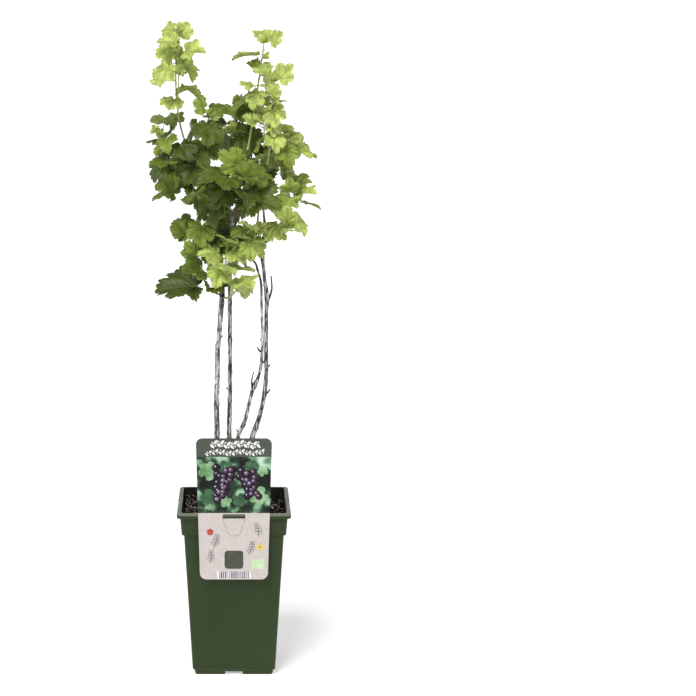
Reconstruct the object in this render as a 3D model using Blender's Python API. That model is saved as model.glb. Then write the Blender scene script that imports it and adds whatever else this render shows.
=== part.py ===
"""A potted jostaberry: four woody stems in a deep square nursery pot, with their boughs and foliage.

Run with: blender --background --python part.py
Sizes are in metres, +Z is up, and the pot stands on z = 0 with its centre at the origin.
"""
import math
import random

import bmesh
import bpy
from mathutils import Matrix, Vector
from mathutils.bvhtree import BVHTree

MM = 0.001
GAP = 0.3 * MM            # clearance between pieces that touch

# Pot: half widths of a rounded square at the heights of its profile
POT_RIM = 70.0 * MM
POT_TOP = 212.0 * MM
LIP_DROP = 6.0 * MM
COLLAR_TOP = 66.0 * MM
COLLAR_FOOT = 64.2 * MM
COLLAR_DROP = 28.5 * MM
BODY_TOP = 61.4 * MM
BODY_FOOT = 51.6 * MM
FOOT_HEIGHT = 8.0 * MM
FOOT_HALF = 48.2 * MM
POT_WALL = 1.6 * MM
POT_FLOOR = 6.5 * MM
POT_CORNER = 9.0 * MM
CHANNEL_WIDTH = 22.0 * MM
CHANNEL_HEIGHT = 4.0 * MM
CENTRE_PAD = 9.0 * MM
DRAIN_RADIUS = 4.0 * MM
DRAIN_REACH = 27.0 * MM
NOTCH_LENGTH = 10.0 * MM
NOTCH_DEPTH = 2.4 * MM

# Soil: it fills the pot to a flat middle, a little below the rim, and is heaped up in one corner
SOIL_TOP = 199.0 * MM
SOIL_EDGE = 194.5 * MM
SOIL_HEAP = 13.0 * MM      # rise of the edge in the back left corner
SOIL_MIDDLE = 38.0 * MM

# Plant card: it hangs in front of the pot from a flap that lies on the rim
CARD_TOP = 307.0 * MM
CARD_FOOT = 130.0 * MM
CARD_TOP_WIDTH = 92.6 * MM
CARD_FOOT_WIDTH = 83.0 * MM
CARD_THICKNESS = 0.8 * MM
CARD_CORNER = 10.0 * MM
CARD_SLOT_WIDTH = 27.5 * MM
CARD_SLOT_HEIGHT = 5.4 * MM
CARD_FLAP = 11.0 * MM

# Limbs: (x, y, z, radius) of a few points, in millimetres
STEM_SIDES = 8
STEM_FOOT = SOIL_TOP + GAP
STEMS = {
    "stem_left": ((-20, -6, 0, 4.7), (-20.5, -6, 8, 3.8), (-21, -6, 30, 3.4), (-21, -5, 93, 3.3),
                  (-21.5, -4, 127, 3.4), (-21, -3, 165, 3.2), (-20, -3, 202, 3.1),
                  (-18, -4, 229, 3.0), (-14, -5, 280, 3.2)),
    "stem_middle": ((-7, 10, 0, 4.2), (-7, 10, 8, 3.4), (-6, 10, 93, 3.1), (-5, 11, 160, 2.9),
                    (-5, 12, 229, 2.7), (-5, 13, 284, 2.5), (-4, 14, 341, 2.3), (-3, 14, 371, 2.1)),
    "stem_inner": ((4, -6, 0, 3.3), (4, -6, 8, 2.7), (4, -6, 60, 2.5), (5, -6, 95, 2.6),
                   (12, -5, 111, 2.7), (16, -5, 125, 2.3), (22, -5, 151, 2.3), (25, -5, 159, 3.1),
                   (30, -4, 170, 2.1), (34, -4, 190, 1.9), (35, -4, 221, 1.8), (34, -4, 260, 1.6),
                   (33, -3, 290, 1.5), (28, -2, 308, 1.4)),
    "stem_outer": ((10, 6, 0, 4.4), (10, 6, 8, 3.6), (12, 6, 41, 3.4), (24, 7, 95, 3.3),
                   (30, 7, 112, 3.1), (37, 7, 141, 2.8), (40, 7, 169, 2.7), (40, 7, 202, 2.5),
                   (40, 7, 250, 2.3), (41, 7, 267, 3.0), (38, 7, 292, 2.1), (35, 6, 326, 1.9),
                   (34, 6, 335, 2.1), (38, 6, 352, 1.6), (36, 5, 381, 1.3), (36, 4, 401, 1.2)),
}

# Boughs: the limb each grows from, where on it ("tip", or a height and an azimuth), and its points
BOUGH_SIDES = 7
BOUGHS = {
    "bough_left": ("stem_middle", "tip", ((-13, 12, 588), (-30, 8, 612), (-46, 5, 633), (-54, 4, 648)),
                   1.9, 1.5),
    "bough_centre": ("stem_middle", (545, 60), ((4, 27, 566), (3, 32, 600), (-3, 30, 632)), 1.7, 1.3),
    "bough_leader": ("stem_inner", "tip", ((19, -2, 521), (12, -3, 529), (5, -4, 544), (1, -4, 556),
                                           (5, -3, 590), (13, 0, 630), (17, 1, 652)), 1.3, 1.1),
    "bough_right": ("stem_outer", "tip", ((37, 3, 614), (41, 2, 634)), 1.1, 1.0),
    "bough_low_right": ("stem_outer", (533, 20), ((50, 12, 545), (62, 15, 566)), 1.3, 1.1),
    "bough_low_back": ("stem_outer", (500, 110), ((33, 26, 522), (30, 40, 552)), 1.4, 1.1),
    "spur_outer": ("stem_outer", (464, 10), ((46.8, 8, 478), (45.8, 8, 495)), 1.2, 0.6),
    "spur_inner": ("stem_inner", (356, 215), ((22, -9, 366), (24.5, -9, 378)), 1.1, 0.5),
}

# Masses: limb, place on it, tip of the axis (mm), leaves, leaf size (mm), stalk (mm), side twigs,
# age (0 young and bright, 1 old and dark) and the seed of the mass
MASSES = {
    "left_leader": ("bough_left", "tip", (-68, 0, 784), 11, 34, 15, 1, 0.08, 391),
    "left_cluster": ("bough_left", (636, 185), (-88, -4, 668), 9, 38, 22, 1, 0.75, 60),
    "left_inner": ("bough_left", (640, 15), (-30, 4, 686), 6, 36, 18, 0, 0.7, 34),
    "left_low": ("bough_left", (614, 215), (-62, -22, 610), 9, 42, 22, 1, 0.75, 33),
    "centre_low_left": ("stem_middle", (532, 190), (-46, 4, 546), 9, 37, 18, 1, 0.75, 7),
    "centre_dark": ("bough_centre", "tip", (-2, 18, 672), 9, 44, 22, 1, 0.9, 48),
    "centre_front": ("bough_leader", (592, 265), (8, -42, 618), 8, 48, 20, 0, 0.92, 20),
    "low_rosette": ("stem_left", "tip", (-8, -10, 532), 10, 30, 18, 0, 0.0, 33),
    "low_left": ("stem_left", (474, 190), (-38, -9, 494), 1, 56, 14, 0, 0.85, 40),
    "low_right": ("stem_left", (470, 335), (8, -16, 487), 2, 38, 10, 0, 0.2, 26),
    "right_leader": ("bough_leader", "tip", (36, -2, 776), 10, 34, 14, 1, 0.08, 32),
    "right_light": ("bough_right", "tip", (45, -6, 700), 10, 27, 14, 1, 0.0, 23),
    "right_dark": ("bough_right", (626, 10), (62, 4, 662), 6, 38, 16, 1, 0.5, 29),
    "right_low": ("bough_low_right", "tip", (76, 8, 592), 7, 36, 18, 1, 0.4, 42),
    "right_under": ("bough_low_right", (556, 300), (66, -12, 558), 5, 36, 16, 0, 0.05, 30),
    "inner_cluster": ("bough_leader", (536, 300), (20, -22, 548), 5, 26, 12, 0, 0.3, 15),
    "back_left": ("bough_centre", (585, 130), (-44, 62, 618), 9, 42, 22, 1, 0.75, 5),
    "back_right": ("bough_low_back", "tip", (48, 62, 622), 10, 42, 22, 1, 0.7, 40),
    "back_low": ("bough_low_back", (530, 130), (-6, 58, 540), 7, 40, 20, 0, 0.8, 49),
}

AXIS_POINTS = 5
AXIS_SIDES = 5
TWIG_SIDES = 3
AXIS_RADIUS = 1.25 * MM
TWIG_RADIUS = 0.95 * MM
STALK_RADIUS = 0.85 * MM
GOLDEN_ANGLE = math.radians(137.5)
TRIES = 40                 # poses tried before a twig or leaf is skipped
TWIG_START = (0.25, 0.45)  # share of the axis where a side twig leaves it
TWIG_LENGTH = (0.4, 0.6)   # its length as a share of the axis
TWIG_TURN = 0.5
TWIG_SHARE = 0.45          # how many of the leaves a side twig takes, against the axis
FIRST_LEAF = 0.25          # share of the axis, or of a twig, below which it is bare
FIRST_TWIG_LEAF = 0.5
SIZE_RANGE = (0.75, 1.12)
TIP_START = 0.85           # share of its path beyond which a leaf counts as a tip leaf
TIP_SIZE = 0.85
STALK_RANGE = (0.7, 1.3)
LEAN = (48, 78)            # degrees between a stalk and its twig
TIP_LEAN = 30
DROOP = (-8, 55)           # degrees that a blade hangs below level
TIP_DROOP = (-60, 0)
ROLL = (-28, 28)
OVERHANG = 16.0 * MM       # how far a leaf may reach past the midway line to the next axis
LEAF_CLEARANCE = 1.2 * MM
CROWN_TOP = 806.0 * MM
CROWN_HALF = 108.0 * MM

# Leaf outline: a waist with lobes (direction, reach, breadth) and a notch at the stalk
LEAF_THICKNESS = 0.9 * MM
LEAF_WAIST = 0.36
LEAF_LOBES = ((0.0, 0.24, 0.34), (1.12, 0.19, 0.36), (2.15, 0.10, 0.40))
LEAF_SINUS = 0.14
LEAF_SINUS_BREADTH = 0.35
LEAF_ANGLES = (0.17, 0.60, 1.15, 1.72, 2.30, math.pi)
LEAF_FOLD = 0.22
LEAF_CURL = 0.30
LEAF_REACH = LEAF_WAIST - LEAF_SINUS   # from the stalk to the middle of the blade
LIGHT = Vector((0.0, -0.44, 0.90))     # upper sides turn this way
TIP_LIGHT = Vector((0.0, -0.82, 0.57))  # the upper sides of the steep leaves near a tip turn this way


def clear_scene():
    """Remove whatever the start-up file put in the scene."""
    for thing in list(bpy.data.objects):
        bpy.data.objects.remove(thing)


def new_collection(name):
    """Make a collection under the scene."""
    group = bpy.data.collections.new(name)
    bpy.context.scene.collection.children.link(group)
    return group


def material(name, colour, roughness):
    """A plain Principled material."""
    made = bpy.data.materials.new(name)
    made.use_nodes = True
    shader = made.node_tree.nodes["Principled BSDF"]
    shader.inputs["Base Color"].default_value = (*colour, 1.0)
    shader.inputs["Roughness"].default_value = roughness
    made.diffuse_color = (*colour, 1.0)
    return made


def mesh_object(name, bm, group, finish=None):
    """Turn a bmesh into an object with outward faces."""
    bmesh.ops.recalc_face_normals(bm, faces=bm.faces)
    mesh = bpy.data.meshes.new(name)
    bm.to_mesh(mesh)
    bm.free()
    made = bpy.data.objects.new(name, mesh)
    group.objects.link(made)
    if finish:
        mesh.materials.append(finish)
    return made


def is_sound(mesh):
    """True where every edge of a mesh has exactly two faces."""
    bm = bmesh.new()
    bm.from_mesh(mesh)
    sound = all(len(edge.link_faces) == 2 for edge in bm.edges)
    bm.free()
    return sound


def combine(base, group, operation):
    """Join or cut a group of objects with one Boolean, apply it, and remove the group's objects."""
    step = base.modifiers.new("combine", "BOOLEAN")
    step.operation = operation
    step.operand_type = "COLLECTION"
    step.collection = group
    for solver in ("EXACT", "MANIFOLD"):
        step.solver = solver
        graph = bpy.context.evaluated_depsgraph_get()
        result = bpy.data.meshes.new_from_object(base.evaluated_get(graph))
        if is_sound(result):
            break
    base.modifiers.remove(step)
    base.data = result
    for thing in list(group.objects):
        bpy.data.objects.remove(thing)


def keep_largest(made):
    """Drop loose scraps, so that one body is left."""
    bm = bmesh.new()
    bm.from_mesh(made.data)
    left = set(bm.verts)
    islands = []
    while left:
        island = set()
        front = [left.pop()]
        while front:
            vert = front.pop()
            island.add(vert)
            for edge in vert.link_edges:
                other = edge.other_vert(vert)
                if other in left:
                    left.discard(other)
                    front.append(other)
        islands.append(island)
    islands.sort(key=len)
    for island in islands[:-1]:
        bmesh.ops.delete(bm, geom=list(island), context="VERTS")
    bm.to_mesh(made.data)
    bm.free()


# Shapes

def square_ring(bm, half, z, corner=POT_CORNER, steps=4):
    """The corners of a rounded square at height z, in order."""
    verts = []
    for quarter in range(4):
        turn = Matrix.Rotation(quarter * math.pi / 2, 3, "Z")
        for step in range(steps + 1):
            angle = step / steps * math.pi / 2
            inner = half - corner
            point = Vector((inner + corner * math.cos(angle), inner + corner * math.sin(angle), 0))
            verts.append(bm.verts.new(turn @ point + Vector((0, 0, z))))
    return verts


def loft(bm, rings):
    """Join rings of corners one after the other and close both ends."""
    for low, high in zip(rings, rings[1:]):
        for i in range(len(low)):
            bm.faces.new((low[i - 1], low[i], high[i], high[i - 1]))
    bm.faces.new(rings[0])
    bm.faces.new(rings[-1])


def box(name, size, centre, group):
    """A box from its size and centre."""
    bm = bmesh.new()
    bmesh.ops.create_cube(bm, size=1.0)
    bmesh.ops.scale(bm, vec=size, verts=bm.verts)
    bmesh.ops.translate(bm, vec=centre, verts=bm.verts)
    return mesh_object(name, bm, group)


def tube(bm, points, radii, sides):
    """A tapering limb through points, with flat ends square to its path."""
    tangents = []
    for i in range(len(points)):
        before = points[max(i - 1, 0)]
        after = points[min(i + 1, len(points) - 1)]
        tangents.append((after - before).normalized())
    side = tangents[0].orthogonal().normalized()
    rings = []
    for point, tangent, radius in zip(points, tangents, radii):
        side = (side - tangent * side.dot(tangent)).normalized()
        frame = Matrix((side, tangent.cross(side), tangent)).transposed().to_4x4()
        frame.translation = point
        rings.append(bmesh.ops.create_circle(bm, segments=sides, radius=radius, matrix=frame)["verts"])
    loft(bm, rings)


def outline(angle):
    """Distance from the middle of a leaf to its edge, for a leaf one unit wide."""
    turn = abs(angle)
    radius = LEAF_WAIST
    for direction, reach, breadth in LEAF_LOBES:
        radius += reach * math.exp(-((turn - direction) / breadth) ** 2)
    return radius - LEAF_SINUS * math.exp(-((turn - math.pi) / LEAF_SINUS_BREADTH) ** 2)


def blade(bm, size, frame, fold, thickness):
    """A folded, lobed leaf: its stalk end at the frame's origin, its midrib along the frame's Y."""
    angles = [-angle for angle in LEAF_ANGLES[:-1]] + list(LEAF_ANGLES)
    made = bmesh.ops.create_circle(bm, cap_ends=True, cap_tris=True, segments=len(angles), radius=1.0)
    rim = [vert for vert in made["verts"] if vert.co.length > 0.5]
    middle = next(vert for vert in made["verts"] if vert.co.length < 0.5)
    rim.sort(key=lambda vert: math.atan2(vert.co.x, vert.co.y) % math.tau)
    angles.sort(key=lambda angle: angle % math.tau)
    for vert, angle in zip(rim, angles):
        radius = outline(angle)
        vert.co = Vector((radius * math.sin(angle), radius * math.cos(angle) + LEAF_REACH, 0))
    middle.co = Vector((0, LEAF_REACH, 0))
    for vert in made["verts"]:
        across, along = vert.co.x, vert.co.y
        vert.co.z = fold * abs(across) - LEAF_CURL * along * along - LEAF_CURL * across * across
        vert.co *= size
    faces = list({face for vert in made["verts"] for face in vert.link_faces})
    for vert in made["verts"]:
        vert.co.z -= thickness / 2
    copied = bmesh.ops.extrude_face_region(bm, geom=faces)["geom"]
    top = [piece for piece in copied if isinstance(piece, bmesh.types.BMVert)]
    bmesh.ops.translate(bm, vec=(0, 0, thickness), verts=top)
    bmesh.ops.transform(bm, matrix=frame, verts=list(made["verts"]) + top)
    return list(made["verts"]) + top


# Pot, soil and card

def pot_profile():
    """Half width and height at each ring, up the outside and down the inside."""
    lip = POT_TOP - LIP_DROP
    step = POT_TOP - COLLAR_DROP
    outside = ((FOOT_HALF, 0.0), (FOOT_HALF + 0.9 * MM, FOOT_HEIGHT * 0.6), (BODY_FOOT, FOOT_HEIGHT),
               (BODY_TOP, step - 1.5 * MM), (COLLAR_FOOT, step), (COLLAR_TOP, lip),
               (POT_RIM, lip), (POT_RIM, POT_TOP - 1.0 * MM), (POT_RIM - 1.0 * MM, POT_TOP))
    inside = ((COLLAR_TOP - POT_WALL, POT_TOP), (COLLAR_FOOT - POT_WALL, step),
              (BODY_TOP - POT_WALL, step - 3.0 * MM), (BODY_FOOT - POT_WALL, POT_FLOOR))
    return outside, inside


def build_pot(group, cutters, finish):
    """The square pot: a thin wall with lip, collar, drain channels, drain holes and rim notches."""
    outside, inside = pot_profile()
    bm = bmesh.new()
    loft(bm, [square_ring(bm, half, z) for half, z in outside + inside])
    pot = mesh_object("pot", bm, group, finish)
    reach = BODY_FOOT + 2 * MM
    for quarter in range(4):
        turn = Matrix.Rotation(quarter * math.pi / 2, 3, "Z")
        length = reach - CENTRE_PAD
        centre = turn @ Vector((CENTRE_PAD + length / 2, 0, CHANNEL_HEIGHT / 2 - MM))
        size = Vector((length, CHANNEL_WIDTH, CHANNEL_HEIGHT + 2 * MM))
        if quarter % 2:
            size.x, size.y = size.y, size.x
        box("channel", size, centre, cutters)
        bm = bmesh.new()
        spot = Matrix.Translation(turn @ Vector((DRAIN_REACH, 0, POT_FLOOR / 2)))
        bmesh.ops.create_cone(bm, cap_ends=True, segments=12, radius1=DRAIN_RADIUS,
                              radius2=DRAIN_RADIUS, depth=2 * POT_FLOOR, matrix=spot)
        mesh_object("drain", bm, cutters)
    for side in (-1, 1):
        centre = (side * POT_RIM, 0, POT_TOP - LIP_DROP / 2)
        box("notch", (2 * NOTCH_DEPTH, NOTCH_LENGTH, LIP_DROP + 2 * MM), centre, cutters)
    combine(pot, cutters, "DIFFERENCE")
    return pot


def build_soil(group, finish):
    """The soil plug, a clearance inside the pot's wall, with a flat middle and one high corner."""
    def wall(z):
        low, high = POT_FLOOR, POT_TOP - COLLAR_DROP - 3.0 * MM
        share = (z - low) / (high - low)
        return BODY_FOOT + share * (BODY_TOP - BODY_FOOT) - POT_WALL - GAP
    step = POT_TOP - COLLAR_DROP
    foot = POT_FLOOR + GAP
    shoulder = step - 3.0 * MM
    collar = COLLAR_FOOT - POT_WALL - 1.5 * GAP
    sections = ((wall(foot), foot), (wall(shoulder) - GAP, shoulder), (collar, step + MM),
                (collar + 0.6 * MM, SOIL_EDGE), (SOIL_MIDDLE, SOIL_TOP))
    bm = bmesh.new()
    rings = [square_ring(bm, half, z) for half, z in sections]
    for vert in rings[-2]:
        vert.co.z += SOIL_HEAP * max((vert.co.y - vert.co.x) / (2 * sections[-2][0]), 0)
    loft(bm, rings)
    return mesh_object("soil", bm, group, finish)


def build_card(group, cutters, joined, finish):
    """The plant card: a tapered card with a slot, whose flap lies back over the rim."""
    back = -(POT_RIM + GAP)
    bm = bmesh.new()
    bmesh.ops.create_grid(bm, x_segments=1, y_segments=1, size=0.5)
    for vert in bm.verts:
        high = vert.co.y > 0
        width = CARD_TOP_WIDTH if high else CARD_FOOT_WIDTH
        vert.co = Vector((vert.co.x * width, back, CARD_TOP if high else CARD_FOOT))
    bmesh.ops.bevel(bm, geom=bm.verts[:], offset=CARD_CORNER * 0.8, segments=4, profile=0.5,
                    affect="VERTICES")
    front = bmesh.ops.extrude_face_region(bm, geom=bm.faces[:])["geom"]
    verts = [piece for piece in front if isinstance(piece, bmesh.types.BMVert)]
    bmesh.ops.translate(bm, vec=(0, -CARD_THICKNESS, 0), verts=verts)
    card = mesh_object("plant_card", bm, group, finish)
    flap_foot = POT_TOP + GAP
    box("slot", (CARD_SLOT_WIDTH, 6 * MM, CARD_SLOT_HEIGHT),
        (0, back, flap_foot - CARD_SLOT_HEIGHT / 2), cutters)
    combine(card, cutters, "DIFFERENCE")
    box("flap", (CARD_SLOT_WIDTH, CARD_FLAP + CARD_THICKNESS / 2, CARD_THICKNESS),
        (0, back + (CARD_FLAP - CARD_THICKNESS / 2) / 2, flap_foot + CARD_THICKNESS / 2), joined)
    combine(card, joined, "UNION")
    return card


# Limbs

def place_on(limb, where):
    """Point and direction, a clearance off a limb: past its tip, or beside it at a height."""
    points, radii = limb
    if where == "tip":
        direction = (points[-1] - points[-2]).normalized()
        return points[-1] + direction * GAP, direction
    height, azimuth = where[0] * MM, math.radians(where[1])
    for low, high, r_low, r_high in zip(points, points[1:], radii, radii[1:]):
        if low.z <= height <= high.z:
            break
    share = (height - low.z) / (high.z - low.z)
    centre = low.lerp(high, share)
    along = (high - low).normalized()
    level = Vector((math.cos(azimuth), math.sin(azimuth), 0))
    direction = (level - along * level.dot(along)).normalized()
    return centre + direction * (max(r_low, r_high) + GAP), direction


def stem_limb(rows):
    """Points and radii of a stem that starts on the soil."""
    points = [Vector((x * MM, y * MM, STEM_FOOT + z * MM)) for x, y, z, _ in rows]
    points[1].x, points[1].y = points[0].x, points[0].y
    return points, [row[3] * MM for row in rows]


def bough_limb(limbs, row):
    """Points and radii of a bough that starts clear of the limb it grows from."""
    parent, where, way, thick, thin = row
    start, direction = place_on(limbs[parent], where)
    points = [start, start + direction * 3 * MM] + [Vector(point) * MM for point in way]
    last = len(points) - 1
    return points, [(thick + (thin - thick) * i / last) * MM for i in range(len(points))]


# Foliage

def mass_axis(limbs, row):
    """The axis of a mass: a curve that leaves its limb squarely and bends to the mass's tip."""
    start, direction = place_on(limbs[row[0]], row[1])
    tip = Vector(row[2]) * MM
    bend = start + direction * (tip - start).length * 0.35
    points = [start, start + direction * 3 * MM]
    for i in range(1, AXIS_POINTS + 1):
        t = i / AXIS_POINTS
        points.append(start * (1 - t) ** 2 + bend * 2 * t * (1 - t) + tip * t * t)
    if (points[2] - start).length < 5 * MM:
        points.pop(2)
    return points


def along_path(points, share):
    """Point and direction at a share of a path's length."""
    lengths = [(b - a).length for a, b in zip(points, points[1:])]
    left = share * sum(lengths)
    for a, b, length in zip(points, points[1:], lengths):
        if left <= length or b is points[-1]:
            return a.lerp(b, min(left / length, 1.0)), (b - a).normalized()
        left -= length


def path_distance(point, points):
    """Distance from a point to a path."""
    best = 1e9
    for a, b in zip(points, points[1:]):
        run = b - a
        share = min(max((point - a).dot(run) / run.length_squared, 0.0), 1.0)
        best = min(best, (point - a - run * share).length)
    return best


def leaf_frame(base, out, pitch, roll, light):
    """A frame at a blade's stalk end: Y runs outward and down by the pitch, Z turns to the light."""
    level = Vector((out.x, out.y, 0))
    if level.length < 0.05:
        level = Vector((1, 0, 0))
    level.normalize()
    midrib = level * math.cos(pitch) - Vector((0, 0, 1)) * math.sin(pitch)
    upper = (light - midrib * light.dot(midrib)).normalized()
    upper = Matrix.Rotation(roll, 3, midrib) @ upper
    frame = Matrix((midrib.cross(upper), midrib, upper)).transposed().to_4x4()
    frame.translation = base
    return frame


def radial(direction, azimuth):
    """A unit vector square to a direction, turned about it by an azimuth."""
    side = direction.cross(Vector((0, 0, 1)))
    if side.length < 0.05:
        side = direction.cross(Vector((1, 0, 0)))
    return Matrix.Rotation(azimuth, 3, direction) @ side.normalized()


def tree_of(builder):
    """A search tree of what a builder puts in an empty bmesh."""
    bm = bmesh.new()
    builder(bm)
    bmesh.ops.recalc_face_normals(bm, faces=bm.faces)
    tree = BVHTree.FromBMesh(bm)
    points = [vert.co.copy() for vert in bm.verts]
    bm.free()
    return tree, points


class Crown:
    """Where every axis runs, and what has been placed so far."""

    def __init__(self, limbs):
        self.limbs = limbs
        self.axes = {name: mass_axis(limbs, row) for name, row in MASSES.items()}
        self.blocked = []
        for points, radii in limbs.values():
            self.block(tree_of(lambda bm: tube(bm, points, [r + MM for r in radii], 6)), None)
        for name, axis in self.axes.items():
            radii = [AXIS_RADIUS + MM] * (len(axis) - 1)
            self.block(tree_of(lambda bm: tube(bm, axis[1:], radii, TWIG_SIDES)), name)

    def block(self, piece, owner):
        """Remember a placed piece with the ball that holds it."""
        tree, points = piece
        middle = sum(points, Vector()) / len(points)
        self.blocked.append((tree, middle, max((p - middle).length for p in points), owner))

    def is_clear(self, piece, own=()):
        """True where a piece overlaps nothing placed, apart from what its own mass owns."""
        tree, points = piece
        middle = sum(points, Vector()) / len(points)
        reach = max((p - middle).length for p in points)
        for other, centre, radius, owner in self.blocked:
            if owner in own or (middle - centre).length > reach + radius:
                continue
            if tree.overlap(other):
                return False
        return True

    def in_space(self, name, points):
        """True where points keep to the mass's own space and inside the crown's reach."""
        for point in points:
            if point.z > CROWN_TOP or max(abs(point.x), abs(point.y)) > CROWN_HALF:
                return False
            own = path_distance(point, self.axes[name])
            for other, axis in self.axes.items():
                if other != name and path_distance(point, axis) + OVERHANG < own:
                    return False
        return True


def leaf_spots(axis, twigs, leaves):
    """Deal the leaves of a mass over its axis and its side twigs: path and share of each."""
    paths = [axis] + twigs
    weights = [1.0] + [TWIG_SHARE] * len(twigs)
    spots = []
    for path, weight in zip(paths, weights):
        count = max(2, round(leaves * weight / sum(weights)))
        first = FIRST_LEAF if path is axis else FIRST_TWIG_LEAF
        for i in range(count):
            share = first + (1.0 - first) * (i + 0.5 * (i < count - 1)) / max(count - 1, 1)
            spots.append((path, min(share, 1.0)))
    return spots


def grow_twig(rng, crown, name, azimuth):
    """Try places for a side twig of a mass, until one keeps to its space."""
    axis = crown.axes[name]
    length = (axis[-1] - axis[0]).length
    for attempt in range(TRIES):
        start, direction = along_path(axis, rng.uniform(*TWIG_START))
        side = radial(direction, azimuth + attempt * TWIG_TURN)
        half = length * rng.uniform(*TWIG_LENGTH) * 0.5
        middle = start + (direction * 0.75 + side * 0.65) * half
        path = [start, middle, middle + (direction + side * 0.25).normalized() * half]
        piece = tree_of(lambda bm: tube(bm, path, [TWIG_RADIUS + MM] * 3, TWIG_SIDES))
        if crown.is_clear(piece, (name,)) and crown.in_space(name, path):
            crown.block(piece, name)
            return path
    return None


def grow_leaf(rng, crown, name, spot, azimuth, size, stalk):
    """Try poses for a leaf on its stalk, until one keeps to its space and touches nothing."""
    path, share = spot
    start, direction = along_path(path, share)
    for attempt in range(TRIES):
        turn = azimuth + rng.uniform(-0.3, 0.3) * (1 + attempt * 0.15)
        lean = math.radians(rng.uniform(*LEAN) - TIP_LEAN * max(share - 0.7, 0) / 0.3)
        width = size * rng.uniform(*SIZE_RANGE) * (TIP_SIZE if share > TIP_START else 1.0)
        length = stalk * rng.uniform(*STALK_RANGE) * (1.0 - 0.012 * attempt)
        out = radial(direction, turn) * math.sin(lean) + direction * math.cos(lean)
        base = start + out * length
        droop = math.radians(rng.uniform(*(TIP_DROOP if share > TIP_START else DROOP)))
        roll = math.radians(rng.uniform(*ROLL))
        frame = leaf_frame(base, out, droop, roll, TIP_LIGHT if share > TIP_START else LIGHT)
        fold = LEAF_FOLD * rng.uniform(0.2, 1.8)
        wide = frame @ Matrix.Translation((0, -0.02 * width, 0))
        test = tree_of(lambda bm: blade(bm, width * 1.06, wide, fold, 2 * LEAF_CLEARANCE))
        if not crown.in_space(name, test[1]):
            continue
        reach = base + frame.col[1].to_3d() * LEAF_REACH * width * 0.9
        ends = [start + out * 2 * MM, base]
        rod = tree_of(lambda bm: tube(bm, ends, [STALK_RADIUS + 0.6 * MM] * 2, TWIG_SIDES))
        if crown.is_clear(test) and crown.is_clear(rod, (name,)):
            crown.block(test, name + " leaves")
            crown.block(rod, name)
            return [start, base, reach], frame, width, fold
    return None


def grow_mass(crown, name, row):
    """Grow one mass: its twigs as paths, and its leaves as stalk, frame, width and fold."""
    leaves, size, stalk, twig_count, _, seed = row[3:]
    rng = random.Random(seed)
    azimuth = rng.uniform(0, math.tau)
    tries = [grow_twig(rng, crown, name, azimuth + i * GOLDEN_ANGLE) for i in range(twig_count)]
    twigs = [path for path in tries if path]
    azimuth = rng.uniform(0, math.tau)
    grown = []
    for i, spot in enumerate(leaf_spots(crown.axes[name], twigs, leaves)):
        turn = azimuth + (i + 1) * GOLDEN_ANGLE
        grown.append(grow_leaf(rng, crown, name, spot, turn, size * MM, stalk * MM))
    return twigs, [leaf for leaf in grown if leaf]


def build_mass(name, crown, twigs, leaves, group, joined, finish):
    """Make a mass's axis, twigs, stalks and leaves solid and join them in one Boolean."""
    axis = crown.axes[name]
    bm = bmesh.new()
    last = len(axis) - 1
    tube(bm, axis, [AXIS_RADIUS + (TWIG_RADIUS - AXIS_RADIUS) * i / last for i in range(last + 1)],
         AXIS_SIDES)
    base = mesh_object(name, bm, group, finish)
    for path in twigs:
        bm = bmesh.new()
        tube(bm, path, [TWIG_RADIUS, TWIG_RADIUS * 0.92, TWIG_RADIUS * 0.85], TWIG_SIDES)
        mesh_object("twig", bm, joined)
    for stalk, frame, width, fold in leaves:
        bm = bmesh.new()
        tube(bm, stalk, [STALK_RADIUS] * 3, TWIG_SIDES)
        mesh_object("stalk", bm, joined)
        bm = bmesh.new()
        blade(bm, width, frame, fold, LEAF_THICKNESS)
        mesh_object("leaf", bm, joined)
    combine(base, joined, "UNION")
    keep_largest(base)
    return base


def main():
    """Build every node of the potted plant."""
    clear_scene()
    group = new_collection("potted_jostaberry")
    cutters = new_collection("cutters")
    joined = new_collection("joined")
    plastic = material("pot plastic", (0.048, 0.070, 0.028), 0.42)
    peat = material("soil", (0.030, 0.024, 0.016), 0.95)
    print_face = material("card", (0.62, 0.58, 0.52), 0.40)
    bark = material("bark", (0.24, 0.20, 0.17), 0.85)
    build_pot(group, cutters, plastic)
    build_soil(group, peat)
    build_card(group, cutters, joined, print_face)
    limbs = {name: stem_limb(rows) for name, rows in STEMS.items()}
    for name, row in BOUGHS.items():
        limbs[name] = bough_limb(limbs, row)
    for name, (points, radii) in limbs.items():
        bm = bmesh.new()
        tube(bm, points, radii, STEM_SIDES if name in STEMS else BOUGH_SIDES)
        mesh_object(name, bm, group, bark)
    crown = Crown(limbs)
    for name, row in MASSES.items():
        shade = row[7]
        green = material(name + " leaves", (0.42 - 0.34 * shade, 0.55 - 0.44 * shade, 0.09), 0.5)
        twigs, leaves = grow_mass(crown, name, row)
        made = build_mass(name, crown, twigs, leaves, group, joined, green)
        print(name, "leaves", len(leaves), "faces", len(made.data.polygons))


main()
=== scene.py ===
# %% [markdown]
# # A potted jostaberry
# A jostaberry is a fruit bush, a cross of blackcurrant and gooseberry. This one is young: a few woody
# stems in a deep square nursery pot, bare below and leafy above, with a plant card on the rim. The frame
# that is loaded first holds plain solids at their true size and place. Each step below dresses one of
# them: the pot, the soil, the card, the bark and the foliage, and then the studio round them.

# %% Load the frame
import math
import random

import bmesh
import bpy
from mathutils import Matrix, Vector, noise
from mathutils.bvhtree import BVHTree


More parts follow.
